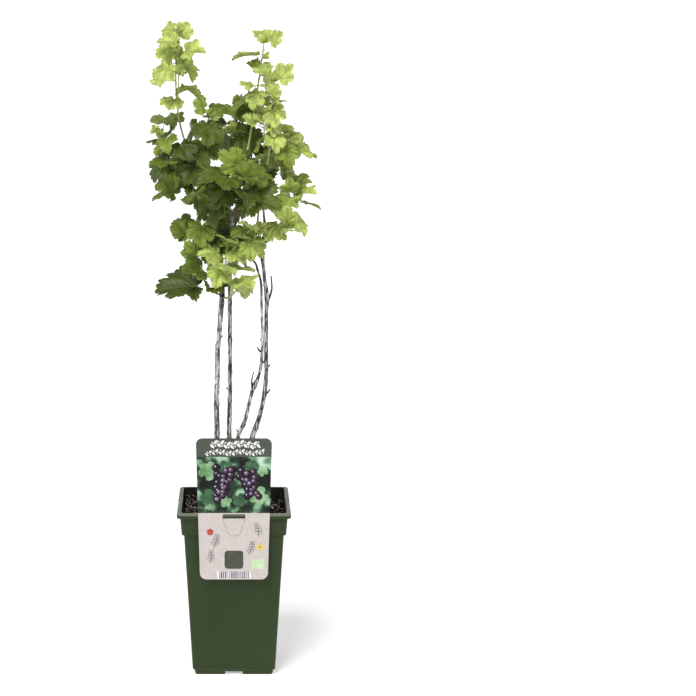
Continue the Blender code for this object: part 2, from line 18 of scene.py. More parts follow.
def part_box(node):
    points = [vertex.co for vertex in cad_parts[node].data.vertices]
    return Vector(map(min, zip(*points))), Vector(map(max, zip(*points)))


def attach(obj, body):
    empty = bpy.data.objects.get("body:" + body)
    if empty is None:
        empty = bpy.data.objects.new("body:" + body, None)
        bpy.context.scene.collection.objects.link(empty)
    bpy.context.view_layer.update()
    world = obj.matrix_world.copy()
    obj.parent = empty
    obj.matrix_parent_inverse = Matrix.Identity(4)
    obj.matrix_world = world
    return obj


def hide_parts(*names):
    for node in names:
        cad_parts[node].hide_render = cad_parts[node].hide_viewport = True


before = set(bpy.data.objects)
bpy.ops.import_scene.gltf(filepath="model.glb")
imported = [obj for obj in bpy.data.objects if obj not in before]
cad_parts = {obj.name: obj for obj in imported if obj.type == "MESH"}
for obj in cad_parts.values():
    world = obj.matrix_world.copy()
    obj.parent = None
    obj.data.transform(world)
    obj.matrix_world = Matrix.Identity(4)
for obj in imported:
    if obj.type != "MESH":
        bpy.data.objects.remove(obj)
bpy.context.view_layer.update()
MM = 0.001

# %% [markdown]
# ## Working by hand in code
# An operator acts on everything that is selected, and the loaded nodes start out selected. So each piece
# begins by clearing the selection. These helpers keep that in one place. They also finish a piece: it
# rides on the one body and takes the place of the plain solids it dresses.

# %% Helpers for pieces
def deselect():
    for thing in list(bpy.context.selected_objects):
        thing.select_set(False)


def select_only(thing):
    deselect()
    thing.select_set(True)
    bpy.context.view_layer.objects.active = thing


def apply_place(thing):
    select_only(thing)
    bpy.ops.object.transform_apply(location=True, rotation=True, scale=True)


def open_mesh():
    bpy.ops.object.mode_set(mode="EDIT")
    bpy.ops.mesh.select_all(action="SELECT")


def close_mesh():
    """Turn every face outward and leave the mesh."""
    bpy.ops.mesh.select_all(action="SELECT")
    bpy.ops.mesh.normals_make_consistent(inside=False)
    bpy.ops.object.mode_set(mode="OBJECT")


def verts_in(geometry):
    return [part for part in geometry if isinstance(part, bmesh.types.BMVert)]


def faces_at(verts):
    return {face for vert in verts for face in vert.link_faces}


def lengths_along(points):
    return [(b - a).length for a, b in zip(points, points[1:])]


def apply_modifiers(thing):
    select_only(thing)
    for step in list(thing.modifiers):
        bpy.ops.object.modifier_apply(modifier=step.name)


def finish_piece(thing, slot, *nodes):
    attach(thing, "root")
    if nodes:
        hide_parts(*nodes)


def mesh_object(name, mesh, *finishes):
    made = bpy.data.objects.new(name, mesh)
    bpy.context.scene.collection.objects.link(made)
    for finish in finishes:
        mesh.materials.append(finish.made)
    return made


def gathered_piece(name, form, finish, slot, *nodes):
    """Turn gathered shapes into one finished piece, and count its faces."""
    bmesh.ops.recalc_face_normals(form, faces=form.faces)
    mesh = bpy.data.meshes.new(name)
    form.to_mesh(mesh)
    form.free()
    finish_piece(mesh_object(name, mesh, finish), slot, *nodes)
    return len(mesh.polygons)


def cut(thing, cutter):
    step = thing.modifiers.new("cut", "BOOLEAN")
    step.operation = "DIFFERENCE"
    step.solver = "EXACT"
    step.object = cutter
    apply_modifiers(thing)
    bpy.data.objects.remove(cutter)


# %% [markdown]
# ## Shader maths as plain sums
# A finish is a small network of nodes. Written node by node it is hard to read, so one class wraps a
# socket and turns Python's own operators into Math nodes. A second class is the finish itself: it sets
# what is the same all over the surface on the shader, and links what changes.

# %% Sockets and finishes
class Wire:
    def __init__(self, finish, socket):
        self.finish = finish
        self.socket = socket

    def math(self, operation, *others):
        return self.finish.node("ShaderNodeMath", {"operation": operation}, (self, *others))

    def __add__(self, other):
        return self.math("ADD", other)

    __radd__ = __add__

    def __sub__(self, other):
        return self.math("SUBTRACT", other)

    def __rsub__(self, other):
        return self.finish.node("ShaderNodeMath", {"operation": "SUBTRACT"}, (other, self))

    def __mul__(self, other):
        return self.math("MULTIPLY", other)

    __rmul__ = __mul__

    def clamp(self, low, high):
        settings = {"interpolation_type": "SMOOTHSTEP"}
        return self.finish.node("ShaderNodeMapRange", settings, {"Value": self, "From Min": low,
                                                                "From Max": high})


class Finish:
    def __init__(self, name, **values):
        self.made = bpy.data.materials.new(name)
        self.made.use_nodes = True
        self.nodes = self.made.node_tree.nodes
        self.shader = self.nodes["Principled BSDF"]
        for socket, value in values.items():
            self.shader.inputs[socket.replace("_", " ")].default_value = value
        colour = values.get("Base_Color", (0.5, 0.5, 0.5, 1.0))
        self.made.diffuse_color = colour

    def node(self, kind, settings=(), inputs=(), output=0):
        made = self.nodes.new(kind)
        for key, value in dict(settings).items():
            if key == "stops":
                self.set_stops(made.color_ramp, value)
            else:
                setattr(made, key, value)
        pairs = inputs.items() if isinstance(inputs, dict) else enumerate(inputs)
        for key, value in pairs:
            if isinstance(value, Wire):
                self.made.node_tree.links.new(value.socket, made.inputs[key])
            else:
                made.inputs[key].default_value = value
        return Wire(self, made.outputs[output])

    @staticmethod
    def set_stops(ramp, stops):
        while len(ramp.elements) < len(stops):
            ramp.elements.new(0.5)
        for element, (place, colour) in zip(ramp.elements, stops):
            element.position = place
            element.color = colour

    def place(self, stretch=(1, 1, 1)):
        point = self.node("ShaderNodeTexCoord", output="Object")
        return self.node("ShaderNodeMapping", {}, {"Vector": point, "Scale": stretch})

    def noise(self, point, scale, detail=3.0, roughness=0.5):
        return self.node("ShaderNodeTexNoise", {}, {"Vector": point, "Scale": scale, "Detail": detail,
                                                    "Roughness": roughness})

    def ramp(self, wire, *stops):
        return self.node("ShaderNodeValToRGB", {"stops": stops}, (wire,))

    def blend(self, share, low, high, kind="MIX"):
        settings = {"data_type": "RGBA", "blend_type": kind}
        return self.node("ShaderNodeMix", settings, {0: share, 6: low, 7: high}, 2)

    def axis(self, point, number):
        return self.node("ShaderNodeSeparateXYZ", {}, (point,), number)

    def bump(self, height, distance, strength=1.0):
        inputs = {"Height": height, "Distance": distance, "Strength": strength}
        self.link("Normal", self.node("ShaderNodeBump", {}, inputs))

    def link(self, socket, wire):
        self.made.node_tree.links.new(wire.socket, self.shader.inputs[socket])


def mottled(name, grain, *stops, stretch=(1, 1, 1), **values):
    """A finish whose colour runs through the stops by one noise. Both are returned."""
    made = Finish(name, **values)
    pattern = made.noise(made.place(stretch), *grain)
    made.link("Base Color", made.ramp(pattern, *stops))
    return made, pattern


# %% [markdown]
# ## The pot's plastic
# The pot is moulded in recycled polypropylene, coloured through in a dark olive green. It is satin, not
# matt: the mould leaves a very fine grain that breaks up the shine. A little soil dust clings to it in
# patches, and handling leaves faint vertical scuffs. The lip's upper edge is painted pale: a painted
# highlight where light catches it, broken up by the scuffs. The inner wall has a nearly black finish, which
# is painted shade.

# %% Pot finish
POT_GREEN = (0.021, 0.037, 0.009, 1.0)
LIP_HIGHLIGHT_FROM, LIP_HIGHLIGHT_TO = 0.2085, 0.2115
pot_finish = Finish("pot_plastic", Base_Color=POT_GREEN, Roughness=0.48, Specular_IOR_Level=0.2)
cloud = pot_finish.noise(pot_finish.place(), 14.0, 4.0)
scuff = pot_finish.noise(pot_finish.place((160, 160, 9)), 1.0, 5.0, 0.7).clamp(0.56, 0.78)
dust = pot_finish.noise(pot_finish.place(), 60.0, 6.0, 0.7).clamp(0.60, 0.80)
green = pot_finish.ramp(cloud, (0.3, (0.019, 0.034, 0.008, 1.0)), (0.7, (0.024, 0.041, 0.011, 1.0)))
green = pot_finish.blend(scuff * 0.20, green, (0.062, 0.085, 0.042, 1.0))
green = pot_finish.blend(dust * 0.14, green, (0.10, 0.085, 0.06, 1.0))
# Painted highlight: the top of the lip blends towards a pale grey-green, broken up by the scuffs.
lip_highlight = pot_finish.axis(pot_finish.place(), 2).clamp(LIP_HIGHLIGHT_FROM, LIP_HIGHLIGHT_TO) * (0.55 + scuff * 0.4)
green = pot_finish.blend(lip_highlight, green, (0.27, 0.28, 0.22, 1.0))
pot_finish.link("Base Color", green)
pot_finish.link("Roughness", 0.36 + cloud * 0.12 + dust * 0.2)
grain = pot_finish.noise(pot_finish.place(), 1500.0, 2.0)
pot_finish.bump(grain + scuff * 0.6, 0.00008, 0.5)

# The inner wall's nearly black finish is painted shade. Its mottle also feeds the bump.
pot_inside, inside_shade_mottle = mottled("pot_inside", (1.0, 5.0, 0.65), (0.35, (0.004, 0.0042, 0.003, 1.0)),
                            (0.70, (0.013, 0.017, 0.009, 1.0)), stretch=(60, 60, 22),
                            Base_Color=(0.007, 0.008, 0.005, 1.0), Roughness=0.7, Specular_IOR_Level=0.15)
pot_inside.bump(inside_shade_mottle, 0.0002, 0.6)
print("finishes", pot_finish.made.name, pot_inside.made.name)

# %% [markdown]
# ## Modelling the pot
# A nursery pot is one thin wall: a foot, a tapering body, a collar with a step under it, and a turned-out
# lip. By hand it starts as a square with rounded corners. That face is extruded and resized from ring to
# ring, up the outside, over the lip and down the inside, so the wall is closed. Channels under the foot,
# the drain holes and a notch in two sides of the rim are then cut with plain blocks and cylinders, and a
# bevel rounds each moulded edge.

# %% Measures of the pot
RIM, _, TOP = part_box("pot")[1]
WALL = 1.6 * MM
FLOOR = 6.5 * MM
LIP = TOP - 6.0 * MM
STEP = TOP - 28.5 * MM
FOOT = 48.2 * MM
BODY_FOOT = 51.6 * MM
BODY_TOP = 61.4 * MM
COLLAR_FOOT = 64.2 * MM
COLLAR_TOP = 66.0 * MM
CORNER = 3.658 * MM
CHANNEL_MIDDLE = 31 * MM
CHANNEL_SIZE = (44 * MM, 22 * MM, 6 * MM)
DRAIN_RADIUS = 4 * MM
DRAIN_REACH = 27 * MM
NOTCH_SIZE = (4.8 * MM, 10 * MM, 8 * MM)
MOULD_EDGE = 0.45 * MM
pot_rings = ((FOOT + 0.9 * MM, 4.8 * MM), (BODY_FOOT, 8.0 * MM), (BODY_TOP, STEP - 1.5 * MM),
             (COLLAR_FOOT, STEP), (COLLAR_TOP, LIP), (RIM, LIP), (RIM, TOP - 1.2 * MM),
             (RIM - 1.2 * MM, TOP), (COLLAR_TOP - WALL, TOP), (COLLAR_FOOT - WALL, STEP),
             (BODY_TOP - WALL, STEP - 3 * MM), (BODY_FOOT - WALL, FLOOR))

# %% Pot wall
deselect()
bpy.ops.mesh.primitive_plane_add(size=2 * FOOT)
pot = bpy.context.object
pot.name = "nursery_pot"
open_mesh()
bpy.ops.mesh.bevel(offset=CORNER, segments=8, affect="VERTICES")
half, height = FOOT, 0.0
for next_half, next_height in pot_rings:
    rise = {"value": (0, 0, next_height - height)}
    bpy.ops.mesh.extrude_region_move(TRANSFORM_OT_translate=rise)
    bpy.ops.transform.resize(value=(next_half / half, next_half / half, 1))
    half, height = next_half, next_height
close_mesh()

# %% Cuts and edges of the pot
for quarter in range(4):
    angle = quarter * math.pi / 2
    reach = Vector((math.cos(angle), math.sin(angle), 0))
    bpy.ops.mesh.primitive_cube_add(size=1, location=reach * CHANNEL_MIDDLE + Vector((0, 0, MM)),
                                    rotation=(0, 0, angle), scale=CHANNEL_SIZE)
    cut(pot, bpy.context.object)
    bpy.ops.mesh.primitive_cylinder_add(vertices=24, radius=DRAIN_RADIUS, depth=16 * MM,
                                        location=reach * DRAIN_REACH)
    cut(pot, bpy.context.object)
for side in (-1, 1):
    bpy.ops.mesh.primitive_cube_add(size=1, location=(side * RIM, 0, TOP - 3 * MM), scale=NOTCH_SIZE)
    cut(pot, bpy.context.object)
soften = pot.modifiers.new("moulded edges", "BEVEL")
soften.width = MOULD_EDGE
soften.segments = 3
soften.limit_method = "ANGLE"
soften.angle_limit = math.radians(28)
apply_modifiers(pot)
bpy.ops.object.shade_smooth_by_angle(angle=math.radians(35))
pot.data.materials.append(pot_finish.made)
pot.data.materials.append(pot_inside.made)
# Inward-facing faces above the floor take the nearly black finish: painted shade inside the pot.
for face in pot.data.polygons:
    if face.normal.xy.dot(face.center.xy) < -0.5 * face.center.xy.length and face.center.z > FLOOR:
        face.material_index = 1
finish_piece(pot, "pot_plastic", "pot")
print("pot faces", len(pot.data.polygons))

# %% [markdown]
# ## Peat and what is in it
# Potting soil is not one surface. It is crumbs of nearly black peat, splinters of bark, pale grit and
# fine pale roots. The plug below gives the ground its level and its lumps: it is lower along the walls and
# heaped up in the back left corner. Crumbs, chips, roots and grit are then strewn on it as small meshes,
# each kind joined into one piece.

# %% Soil finishes
peat, speck = mottled("peat", (420.0, 6.0, 0.7), (0.30, (0.002, 0.0015, 0.001, 1)),
                      (0.58, (0.007, 0.005, 0.003, 1)), (0.74, (0.030, 0.020, 0.013, 1)),
                      Base_Color=(0.02, 0.014, 0.009, 1), Roughness=0.95, Specular_IOR_Level=0.15)
lumps = peat.noise(peat.place(), 90.0, 5.0, 0.6)
peat.bump(speck + lumps * 2, 0.0009, 1.0)
crumb_finish, _ = mottled("peat_crumb", (300.0, 4.0, 0.7), (0.38, (0.003, 0.002, 0.0015, 1)),
                          (0.66, (0.024, 0.016, 0.010, 1)), Base_Color=(0.014, 0.009, 0.006, 1),
                          Roughness=0.95, Specular_IOR_Level=0.15)
chip_finish, _ = mottled("bark_chip", (1.0, 4.0, 0.7), (0.3, (0.045, 0.028, 0.018, 1)),
                         (0.7, (0.34, 0.26, 0.18, 1)), stretch=(300, 700, 300),
                         Base_Color=(0.17, 0.12, 0.075, 1), Roughness=0.85)
root_finish, _ = mottled("fine_root", (180.0,), (0.3, (0.20, 0.15, 0.10, 1)), (0.7, (0.68, 0.61, 0.52, 1)),
                         Base_Color=(0.55, 0.46, 0.36, 1), Roughness=0.8)
grit_finish, _ = mottled("pale_grit", (90.0,), (0.35, (0.42, 0.37, 0.30, 1)), (0.65, (0.80, 0.78, 0.73, 1)),
                         Base_Color=(0.70, 0.67, 0.61, 1), Roughness=0.9)
print("soil finishes", peat.made.name, crumb_finish.made.name, chip_finish.made.name,
      root_finish.made.name, grit_finish.made.name)

# %% [markdown]
# ## The ground's level
# One function gives the height of the ground at a point, because the surface and all that lies on it
# need the same one. The plug is a grid that takes this height. Its border is then extruded down the
# inside of the wall, ring by ring, and closed below.

# %% Soil surface
SOIL_HALF = COLLAR_FOOT - WALL - 0.5 * MM
SOIL_CORNER = 7.0 * MM
WALL_DROP = 4.0 * MM
GAP = 0.3 * MM
STEM_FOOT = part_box("stem_left")[0][2]
SOIL_LEVEL = STEM_FOOT - GAP
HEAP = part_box("soil")[1][2] - SOIL_LEVEL


def soil_height(x, y):
    """The ground's level: flat in the middle, lower along the wall, and heaped up in the back left corner."""
    outward = max(max(abs(x), abs(y)) / SOIL_HALF - 0.6, 0) / 0.4
    corner = max((y - x) / (2 * SOIL_HALF), 0)
    level = SOIL_LEVEL - WALL_DROP * outward + (HEAP + WALL_DROP) * corner * outward
    broad = noise.noise(Vector((x * 45, y * 45, 3.1)))
    fine = noise.noise(Vector((x * 190, y * 190, 7.7)))
    return level + broad * 1.6 * MM + fine * 0.9 * MM


deselect()
bpy.ops.mesh.primitive_grid_add(x_subdivisions=90, y_subdivisions=90, size=2 * SOIL_HALF)
soil = bpy.context.object
soil.name = "potting_soil"
inner = SOIL_HALF - SOIL_CORNER
for vert in soil.data.vertices:
    beyond = Vector((max(abs(vert.co.x) - inner, 0), max(abs(vert.co.y) - inner, 0)))
    if beyond.x > 0 and beyond.y > 0:
        beyond *= max(beyond.x, beyond.y) / beyond.length
        vert.co.x = math.copysign(inner + beyond.x, vert.co.x)
        vert.co.y = math.copysign(inner + beyond.y, vert.co.y)
    vert.co.z = soil_height(vert.co.x, vert.co.y)
bpy.ops.object.mode_set(mode="EDIT")
bpy.ops.mesh.select_all(action="DESELECT")
bpy.ops.mesh.select_mode(type="EDGE")
bpy.ops.mesh.select_non_manifold()
for level, width in ((STEP + MM, SOIL_HALF), (STEP - 3 * MM, BODY_TOP - WALL - 0.5 * MM),
                     (FLOOR + GAP, BODY_FOOT - WALL - 0.4 * MM)):
    bpy.ops.mesh.extrude_region_move()
    form = bmesh.from_edit_mesh(soil.data)
    ring = [vert for vert in form.verts if vert.select]
    reach = max(vert.co.x for vert in ring)
    for vert in ring:
        vert.co.x *= width / reach
        vert.co.y *= width / reach
        vert.co.z = level
bpy.ops.mesh.edge_face_add()
close_mesh()
bpy.ops.object.shade_smooth()
soil.data.materials.append(peat.made)
finish_piece(soil, "soil", "soil")
print("soil faces", len(soil.data.polygons))

# %% [markdown]
# ## Strewing crumbs, chips and roots
# One crumb is modelled as a small icosphere that noise has pushed out of shape. A chip is a flattened
# block with one tapered end, and a root is a thin curved tube. Copies are turned and sized by a seeded dice,
# set on the soil's own height, and gathered into one mesh for each kind.

# %% Strewn pieces
STREWN_MARGIN = 2.5 * MM
ROOT_RADIUS = 0.22 * MM


def strewn(name, count, seed, shape, finish, smallest, largest, squash=1.0, flat=False):
    dice = random.Random(seed)
    gathered = bmesh.new()
    reach = SOIL_HALF - STREWN_MARGIN
    tilt = 0.35 if flat else math.pi
    for _ in range(count):
        x, y = dice.uniform(-reach, reach), dice.uniform(-reach, reach)
        size = smallest + (largest - smallest) * dice.random() ** 2.2
        turn = Matrix.Rotation(dice.uniform(0, math.tau), 4, "Z")
        turn = turn @ Matrix.Rotation(dice.uniform(-tilt, tilt), 4, "X")
        turn = turn @ Matrix.Rotation(dice.uniform(-tilt, tilt), 4, "Y")
        height = soil_height(x, y) + size * squash * 0.18
        place = Matrix.Translation((x, y, height)) @ turn @ Matrix.Diagonal((size, size, size, 1))
        shape(gathered, place, dice)
    print(name, "faces", gathered_piece(name, gathered, finish, "soil"))


def crumb(gathered, place, dice):
    made = bmesh.ops.create_icosphere(gathered, subdivisions=1, radius=0.5)["verts"]
    shift = Vector((dice.random(), dice.random(), dice.random())) * 40
    for vert in made:
        vert.co *= 1.0 + 0.75 * noise.noise(vert.co * 3.0 + shift)
    bmesh.ops.transform(gathered, matrix=place, verts=made)


def chip(gathered, place, dice):
    made = bmesh.ops.create_cube(gathered, size=1.0)["verts"]
    slim = dice.uniform(0.16, 0.42)
    for vert in made:
        taper = 1.0 - 0.55 * (vert.co.x > 0) * dice.random()
        vert.co = Vector((vert.co.x, vert.co.y * slim * taper, vert.co.z * 0.13 * taper))
        vert.co += Vector((dice.uniform(-0.1, 0.1), dice.uniform(-0.04, 0.04), 0))
    bmesh.ops.transform(gathered, matrix=place, verts=made)


def tangents_along(points):
    return [(points[min(i + 1, len(points) - 1)] - points[max(i - 1, 0)]).normalized()
            for i in range(len(points))]


def bridge(gathered, rings):
    """Join each ring of vertices to the next by smooth faces."""
    for low, high in zip(rings, rings[1:]):
        for i in range(len(low)):
            gathered.faces.new((low[i - 1], low[i], high[i], high[i - 1])).smooth = True


def ring_tube(gathered, points, radii, sides):
    """A closed tapering tube through points."""
    tangents = tangents_along(points)
    side = tangents[0].orthogonal().normalized()
    rings = []
    for point, tangent, radius in zip(points, tangents, radii):
        side = (side - tangent * side.dot(tangent)).normalized()
        up = tangent.cross(side)
        rings.append([gathered.verts.new(point + (side * math.cos(a) + up * math.sin(a)) * radius)
                      for a in (k * math.tau / sides for k in range(sides))])
    bridge(gathered, rings)
    gathered.faces.new(rings[0][::-1])
    gathered.faces.new(rings[-1])
    return rings


def root(gathered, place, dice):
    bend, lift = dice.uniform(-0.5, 0.5), dice.uniform(0.0, 0.12)
    points = []
    for i in range(7):
        t = i / 6 - 0.5
        points.append(place @ Vector((t, bend * (0.25 - t * t) * 2 + 0.05 * math.sin(9 * t),
                                      lift * (0.25 - t * t) * 4)))
    ring_tube(gathered, points, [ROOT_RADIUS * (1.1 - abs(i - 3) / 5) for i in range(7)], 4)


strewn("peat_crumbs", 2600, 5, crumb, crumb_finish, 0.9 * MM, 4.2 * MM)
strewn("bark_chips", 170, 8, chip, chip_finish, 2.5 * MM, 9.0 * MM, 0.5, True)
strewn("fine_roots", 420, 13, root, root_finish, 7.0 * MM, 24.0 * MM, 0.1, True)
strewn("pale_grit", 240, 17, crumb, grit_finish, 0.7 * MM, 2.2 * MM, 1.4)

# %% [markdown]
# ## The plant card
# A card like this is printed plastic sheet, a little under a millimetre thick. It hangs in front of the
# lip by a die-cut flap, which folds back through its slot and lies on the rim. Its print has four fields:
# a grey-green band with two garlands, a picture of dark berries, a pale lower field with line drawings, and
# small plain patches. The bands are the card's own faces, split where the colour changes. The motifs are
# layers of ink, a twentieth of a millimetre apart.

# %% Card finishes
def ink(name, low, high, scale=220.0):
    made, fleck = mottled(name, (scale, 3.0, 0.6), (0.35, low), (0.65, high),
                          Base_Color=high, Roughness=0.42, Specular_IOR_Level=0.25)
    made.bump(fleck, 0.00003, 0.4)
    return made


card_cream = ink("card_cream", (0.475, 0.425, 0.405, 1), (0.52, 0.47, 0.45, 1))
card_band = ink("card_band", (0.052, 0.064, 0.047, 1), (0.063, 0.077, 0.056, 1))
card_back = ink("card_back", (0.72, 0.70, 0.67, 1), (0.78, 0.76, 0.74, 1))
ink_olive = ink("ink_olive", (0.045, 0.052, 0.036, 1), (0.062, 0.070, 0.050, 1))
ink_pale_green = ink("ink_pale_green", (0.42, 0.58, 0.32, 1), (0.50, 0.66, 0.40, 1))
ink_grey = ink("ink_grey", (0.105, 0.10, 0.095, 1), (0.15, 0.14, 0.13, 1))
ink_white = ink("ink_white", (0.66, 0.65, 0.63, 1), (0.74, 0.73, 0.71, 1))
blooms = [ink("ink_bloom_deep", (0.010, 0.005, 0.013, 1), (0.030, 0.015, 0.034, 1)),
          ink("ink_bloom_plum", (0.055, 0.022, 0.045, 1), (0.12, 0.055, 0.10, 1)),
          ink("ink_bloom_blue", (0.065, 0.050, 0.11, 1), (0.15, 0.12, 0.21, 1))]
ink_glint = ink("ink_glint", (0.34, 0.28, 0.36, 1), (0.55, 0.48, 0.56, 1))
ink_red = ink("ink_red", (0.36, 0.045, 0.035, 1), (0.48, 0.07, 0.05, 1))
ink_yellow = ink("ink_yellow", (0.60, 0.42, 0.06, 1), (0.70, 0.52, 0.10, 1))
ink_stripe = ink("ink_stripe", (0.075, 0.065, 0.115, 1), (0.13, 0.115, 0.18, 1))
ink_leaf = ink("ink_leaf", (0.08, 0.20, 0.075, 1), (0.33, 0.50, 0.30, 1), 60.0)
ink_leaf_dark = ink("ink_leaf_dark", (0.010, 0.035, 0.016, 1), (0.055, 0.140, 0.065, 1), 60.0)

berry_ink = Finish("ink_berry", Base_Color=(0.035, 0.010, 0.022, 1), Roughness=0.4, Specular_IOR_Level=0.2)
bloom = berry_ink.noise(berry_ink.place(), 260.0, 4.0).clamp(0.45, 0.7)
berry_ink.link("Base Color", berry_ink.blend(bloom, (0.006, 0.002, 0.006, 1), (0.036, 0.014, 0.032, 1)))

picture = Finish("card_picture", Base_Color=(0.02, 0.05, 0.015, 1), Roughness=0.5, Specular_IOR_Level=0.2)
soft = picture.noise(picture.place(), 40.0, 2.0, 0.5)
fine = picture.noise(picture.place(), 150.0, 3.0, 0.6)
picture.link("Base Color", picture.ramp(soft * 0.78 + fine * 0.22, (0.44, (0.004, 0.007, 0.005, 1)),
                                        (0.53, (0.022, 0.050, 0.027, 1)), (0.60, (0.20, 0.36, 0.22, 1)),
                                        (0.70, (0.50, 0.66, 0.52, 1))))
print("inks of the berries' bloom", len(blooms))

# %% [markdown]
# ## The card's sheet
# The sheet is one rectangle, narrower at the foot, with rounded corners. It is extruded to its thickness
# and cut across at two heights, so that each band of the print has faces of its own. The slot is cut out
# with a plain block, and a fine bevel breaks the cut edges.

# %% Card sheet
card_low, card_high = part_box("plant_card")
CARD_FRONT = card_low[1]
CARD_BACK = -RIM - GAP
CARD_TOP, CARD_BASE = card_high[2], card_low[2]
TOP_WIDTH, BASE_WIDTH = 92.6 * MM, 83.0 * MM
CARD_CORNER = 8.0 * MM
SLOT_WIDTH, SLOT_HEIGHT = 27.5 * MM, 5.4 * MM
SLOT_TOP = TOP + GAP
BAND_FOOT = CARD_TOP - 23.0 * MM
PICTURE_FOOT = SLOT_TOP + 1.6 * MM

deselect()
bpy.ops.mesh.primitive_plane_add(size=1, rotation=(math.pi / 2, 0, 0))
card = bpy.context.object
card.name = "card_sheet"
apply_place(card)
for vert in card.data.vertices:
    high = vert.co.z > 0
    vert.co = Vector((vert.co.x * (TOP_WIDTH if high else BASE_WIDTH), CARD_FRONT,
                      CARD_TOP if high else CARD_BASE))
open_mesh()
bpy.ops.mesh.bevel(offset=CARD_CORNER, segments=8, affect="VERTICES")
bpy.ops.mesh.select_all(action="SELECT")
bpy.ops.mesh.extrude_region_move(TRANSFORM_OT_translate={"value": (0, CARD_BACK - CARD_FRONT, 0)})
for level in (BAND_FOOT, PICTURE_FOOT):
    bpy.ops.mesh.select_all(action="SELECT")
    bpy.ops.mesh.bisect(plane_co=(0, 0, level), plane_no=(0, 0, 1))
close_mesh()
bpy.ops.mesh.primitive_cube_add(size=1, location=(0, CARD_BACK, SLOT_TOP - SLOT_HEIGHT / 2),
                                scale=(SLOT_WIDTH, 6 * MM, SLOT_HEIGHT))
cut(card, bpy.context.object)
for finish in (card_cream, card_band, picture, card_back):
    card.data.materials.append(finish.made)
for face in card.data.polygons:
    if face.normal.y > 0.5:
        face.material_index = 3
    elif face.center.z > BAND_FOOT:
        face.material_index = 1
    elif face.center.z > PICTURE_FOOT:
        face.material_index = 2
trim = card.modifiers.new("cut edge", "BEVEL")
trim.width = 0.12 * MM
trim.segments = 2
trim.limit_method = "ANGLE"
apply_modifiers(card)
print("card", round((CARD_TOP - CARD_BASE) * 1000), "mm tall, faces", len(card.data.polygons))

# %% [markdown]
# ## The flap over the rim
# The flap is the piece of card that the slot set free. It bends back at the slot's upper edge and lies on
# the rim, which is what carries the card. It is a strip, bent by a short arc and thickened.

# %% Card flap
deselect()
bpy.ops.mesh.primitive_grid_add(x_subdivisions=1, y_subdivisions=10, size=1)
flap = bpy.context.object
flap.name = "card_flap"
FLAP_REACH = card_high[1] - CARD_BACK
for vert in flap.data.vertices:
    run = vert.co.y + 0.5
    depth = CARD_FRONT + 0.4 * MM + (FLAP_REACH + 0.4 * MM) * run
    rise = 0.4 * MM + 0.25 * MM * math.exp(-run * 9)
    vert.co = Vector((vert.co.x * SLOT_WIDTH * (1 - 0.10 * run * run), depth, SLOT_TOP + rise))
thicken = flap.modifiers.new("sheet", "SOLIDIFY")
thicken.thickness = 0.7 * MM
thicken.offset = 0
apply_modifiers(flap)
flap.data.materials.append(card_back.made)
print("flap reaches back", round((FLAP_REACH + CARD_BACK) * 1000, 1), "mm past the pot's middle")

# %% [markdown]
# ## Ink on the card
# Each motif is drawn once as a flat shape and then copied: a rounded patch, a disc for a berry, a lobed
# leaf, a small pointed leaf, and a thin line for drawings. Two trusses of dark berries hang in the
# picture, among soft leaves. A berry is a slightly domed disc with a second one for its bloom, which is
# deep, plum or blue, and a third and very small one for the light spot.

# %% Ink shapes
INK_STEP = 0.05 * MM
INK_THICKNESS = 0.04 * MM
inks = {}


def ink_layer(finish, layer):
    key = (finish.made.name, layer)
    if key not in inks:
        inks[key] = (bmesh.new(), finish)
    return inks[key][0], CARD_FRONT - INK_STEP * layer


def flat_shape(finish, outline_points, layer):
    form, depth = ink_layer(finish, layer)
    face = form.faces.new([form.verts.new((x, depth, z)) for x, z in outline_points])
    face.normal_update()
    if face.normal.y > 0:
        face.normal_flip()
    solid = bmesh.ops.extrude_face_region(form, geom=[face])["geom"]
    bmesh.ops.translate(form, vec=(0, INK_THICKNESS, 0), verts=verts_in(solid))


def rounded_patch(finish, x, z, width, height, corner, layer=1):
    points = []
    for quarter in range(4):
        cx = (width / 2 - corner) * (1, -1, -1, 1)[quarter]
        cz = (height / 2 - corner) * (1, 1, -1, -1)[quarter]
        for step in range(5):
            angle = (quarter + step / 4) * math.pi / 2
            points.append((x + cx + corner * math.cos(angle), z + cz + corner * math.sin(angle)))
    flat_shape(finish, points, layer)


def ink_line(finish, points, width, layer=1):
    form, depth = ink_layer(finish, layer)
    path = [Vector((x, depth, z)) for x, z in points]
    ring_tube(form, path, [width / 2] * len(path), 5)


def disc(finish, x, z, radius, layer):
    form, depth = ink_layer(finish, layer)
    squash = Matrix.Translation((x, depth, z)) @ Matrix.Diagonal((1, 0.10, 1.02, 1))
    made = bmesh.ops.create_uvsphere(form, u_segments=16, v_segments=8, radius=radius, matrix=squash)
    for face in faces_at(made["verts"]):
        face.smooth = True


def lobed_leaf(finish, x, z, size, turn, layer):
    points = []
    for k in range(60):
        angle = k / 60 * math.tau
        radius = leaf_outline(angle)
        across, along = size * radius * math.sin(angle), size * radius * math.cos(angle)
        points.append((x + across * math.cos(turn) + along * math.sin(turn),
                       z - across * math.sin(turn) + along * math.cos(turn)))
    flat_shape(finish, points, layer)


def leaf_outline(angle):
    turn = abs((angle + math.pi) % math.tau - math.pi)
    radius = 0.42 - 0.20 * math.exp(-((turn - math.pi) / 0.3) ** 2) + 0.06 * math.exp(-(turn / 0.4) ** 2)
    for valley in (0.62, 1.75):
        radius -= 0.09 * math.exp(-((turn - valley) / 0.16) ** 2)
    return radius * (1 + 0.04 * abs(math.cos(turn * 10)))


def pointed_leaf(x, z, length, turn):
    """The outline of a small pointed leaf that starts at a point."""
    points = []
    for k in range(17):
        t = k / 16 * math.tau
        along = length * (1 - math.cos(t)) / 2
        across = length * math.sin(t) * (0.276 + 0.072 * math.cos(t))
        points.append((x + along * math.sin(turn) + across * math.cos(turn),
                       z + along * math.cos(turn) - across * math.sin(turn)))
    return points


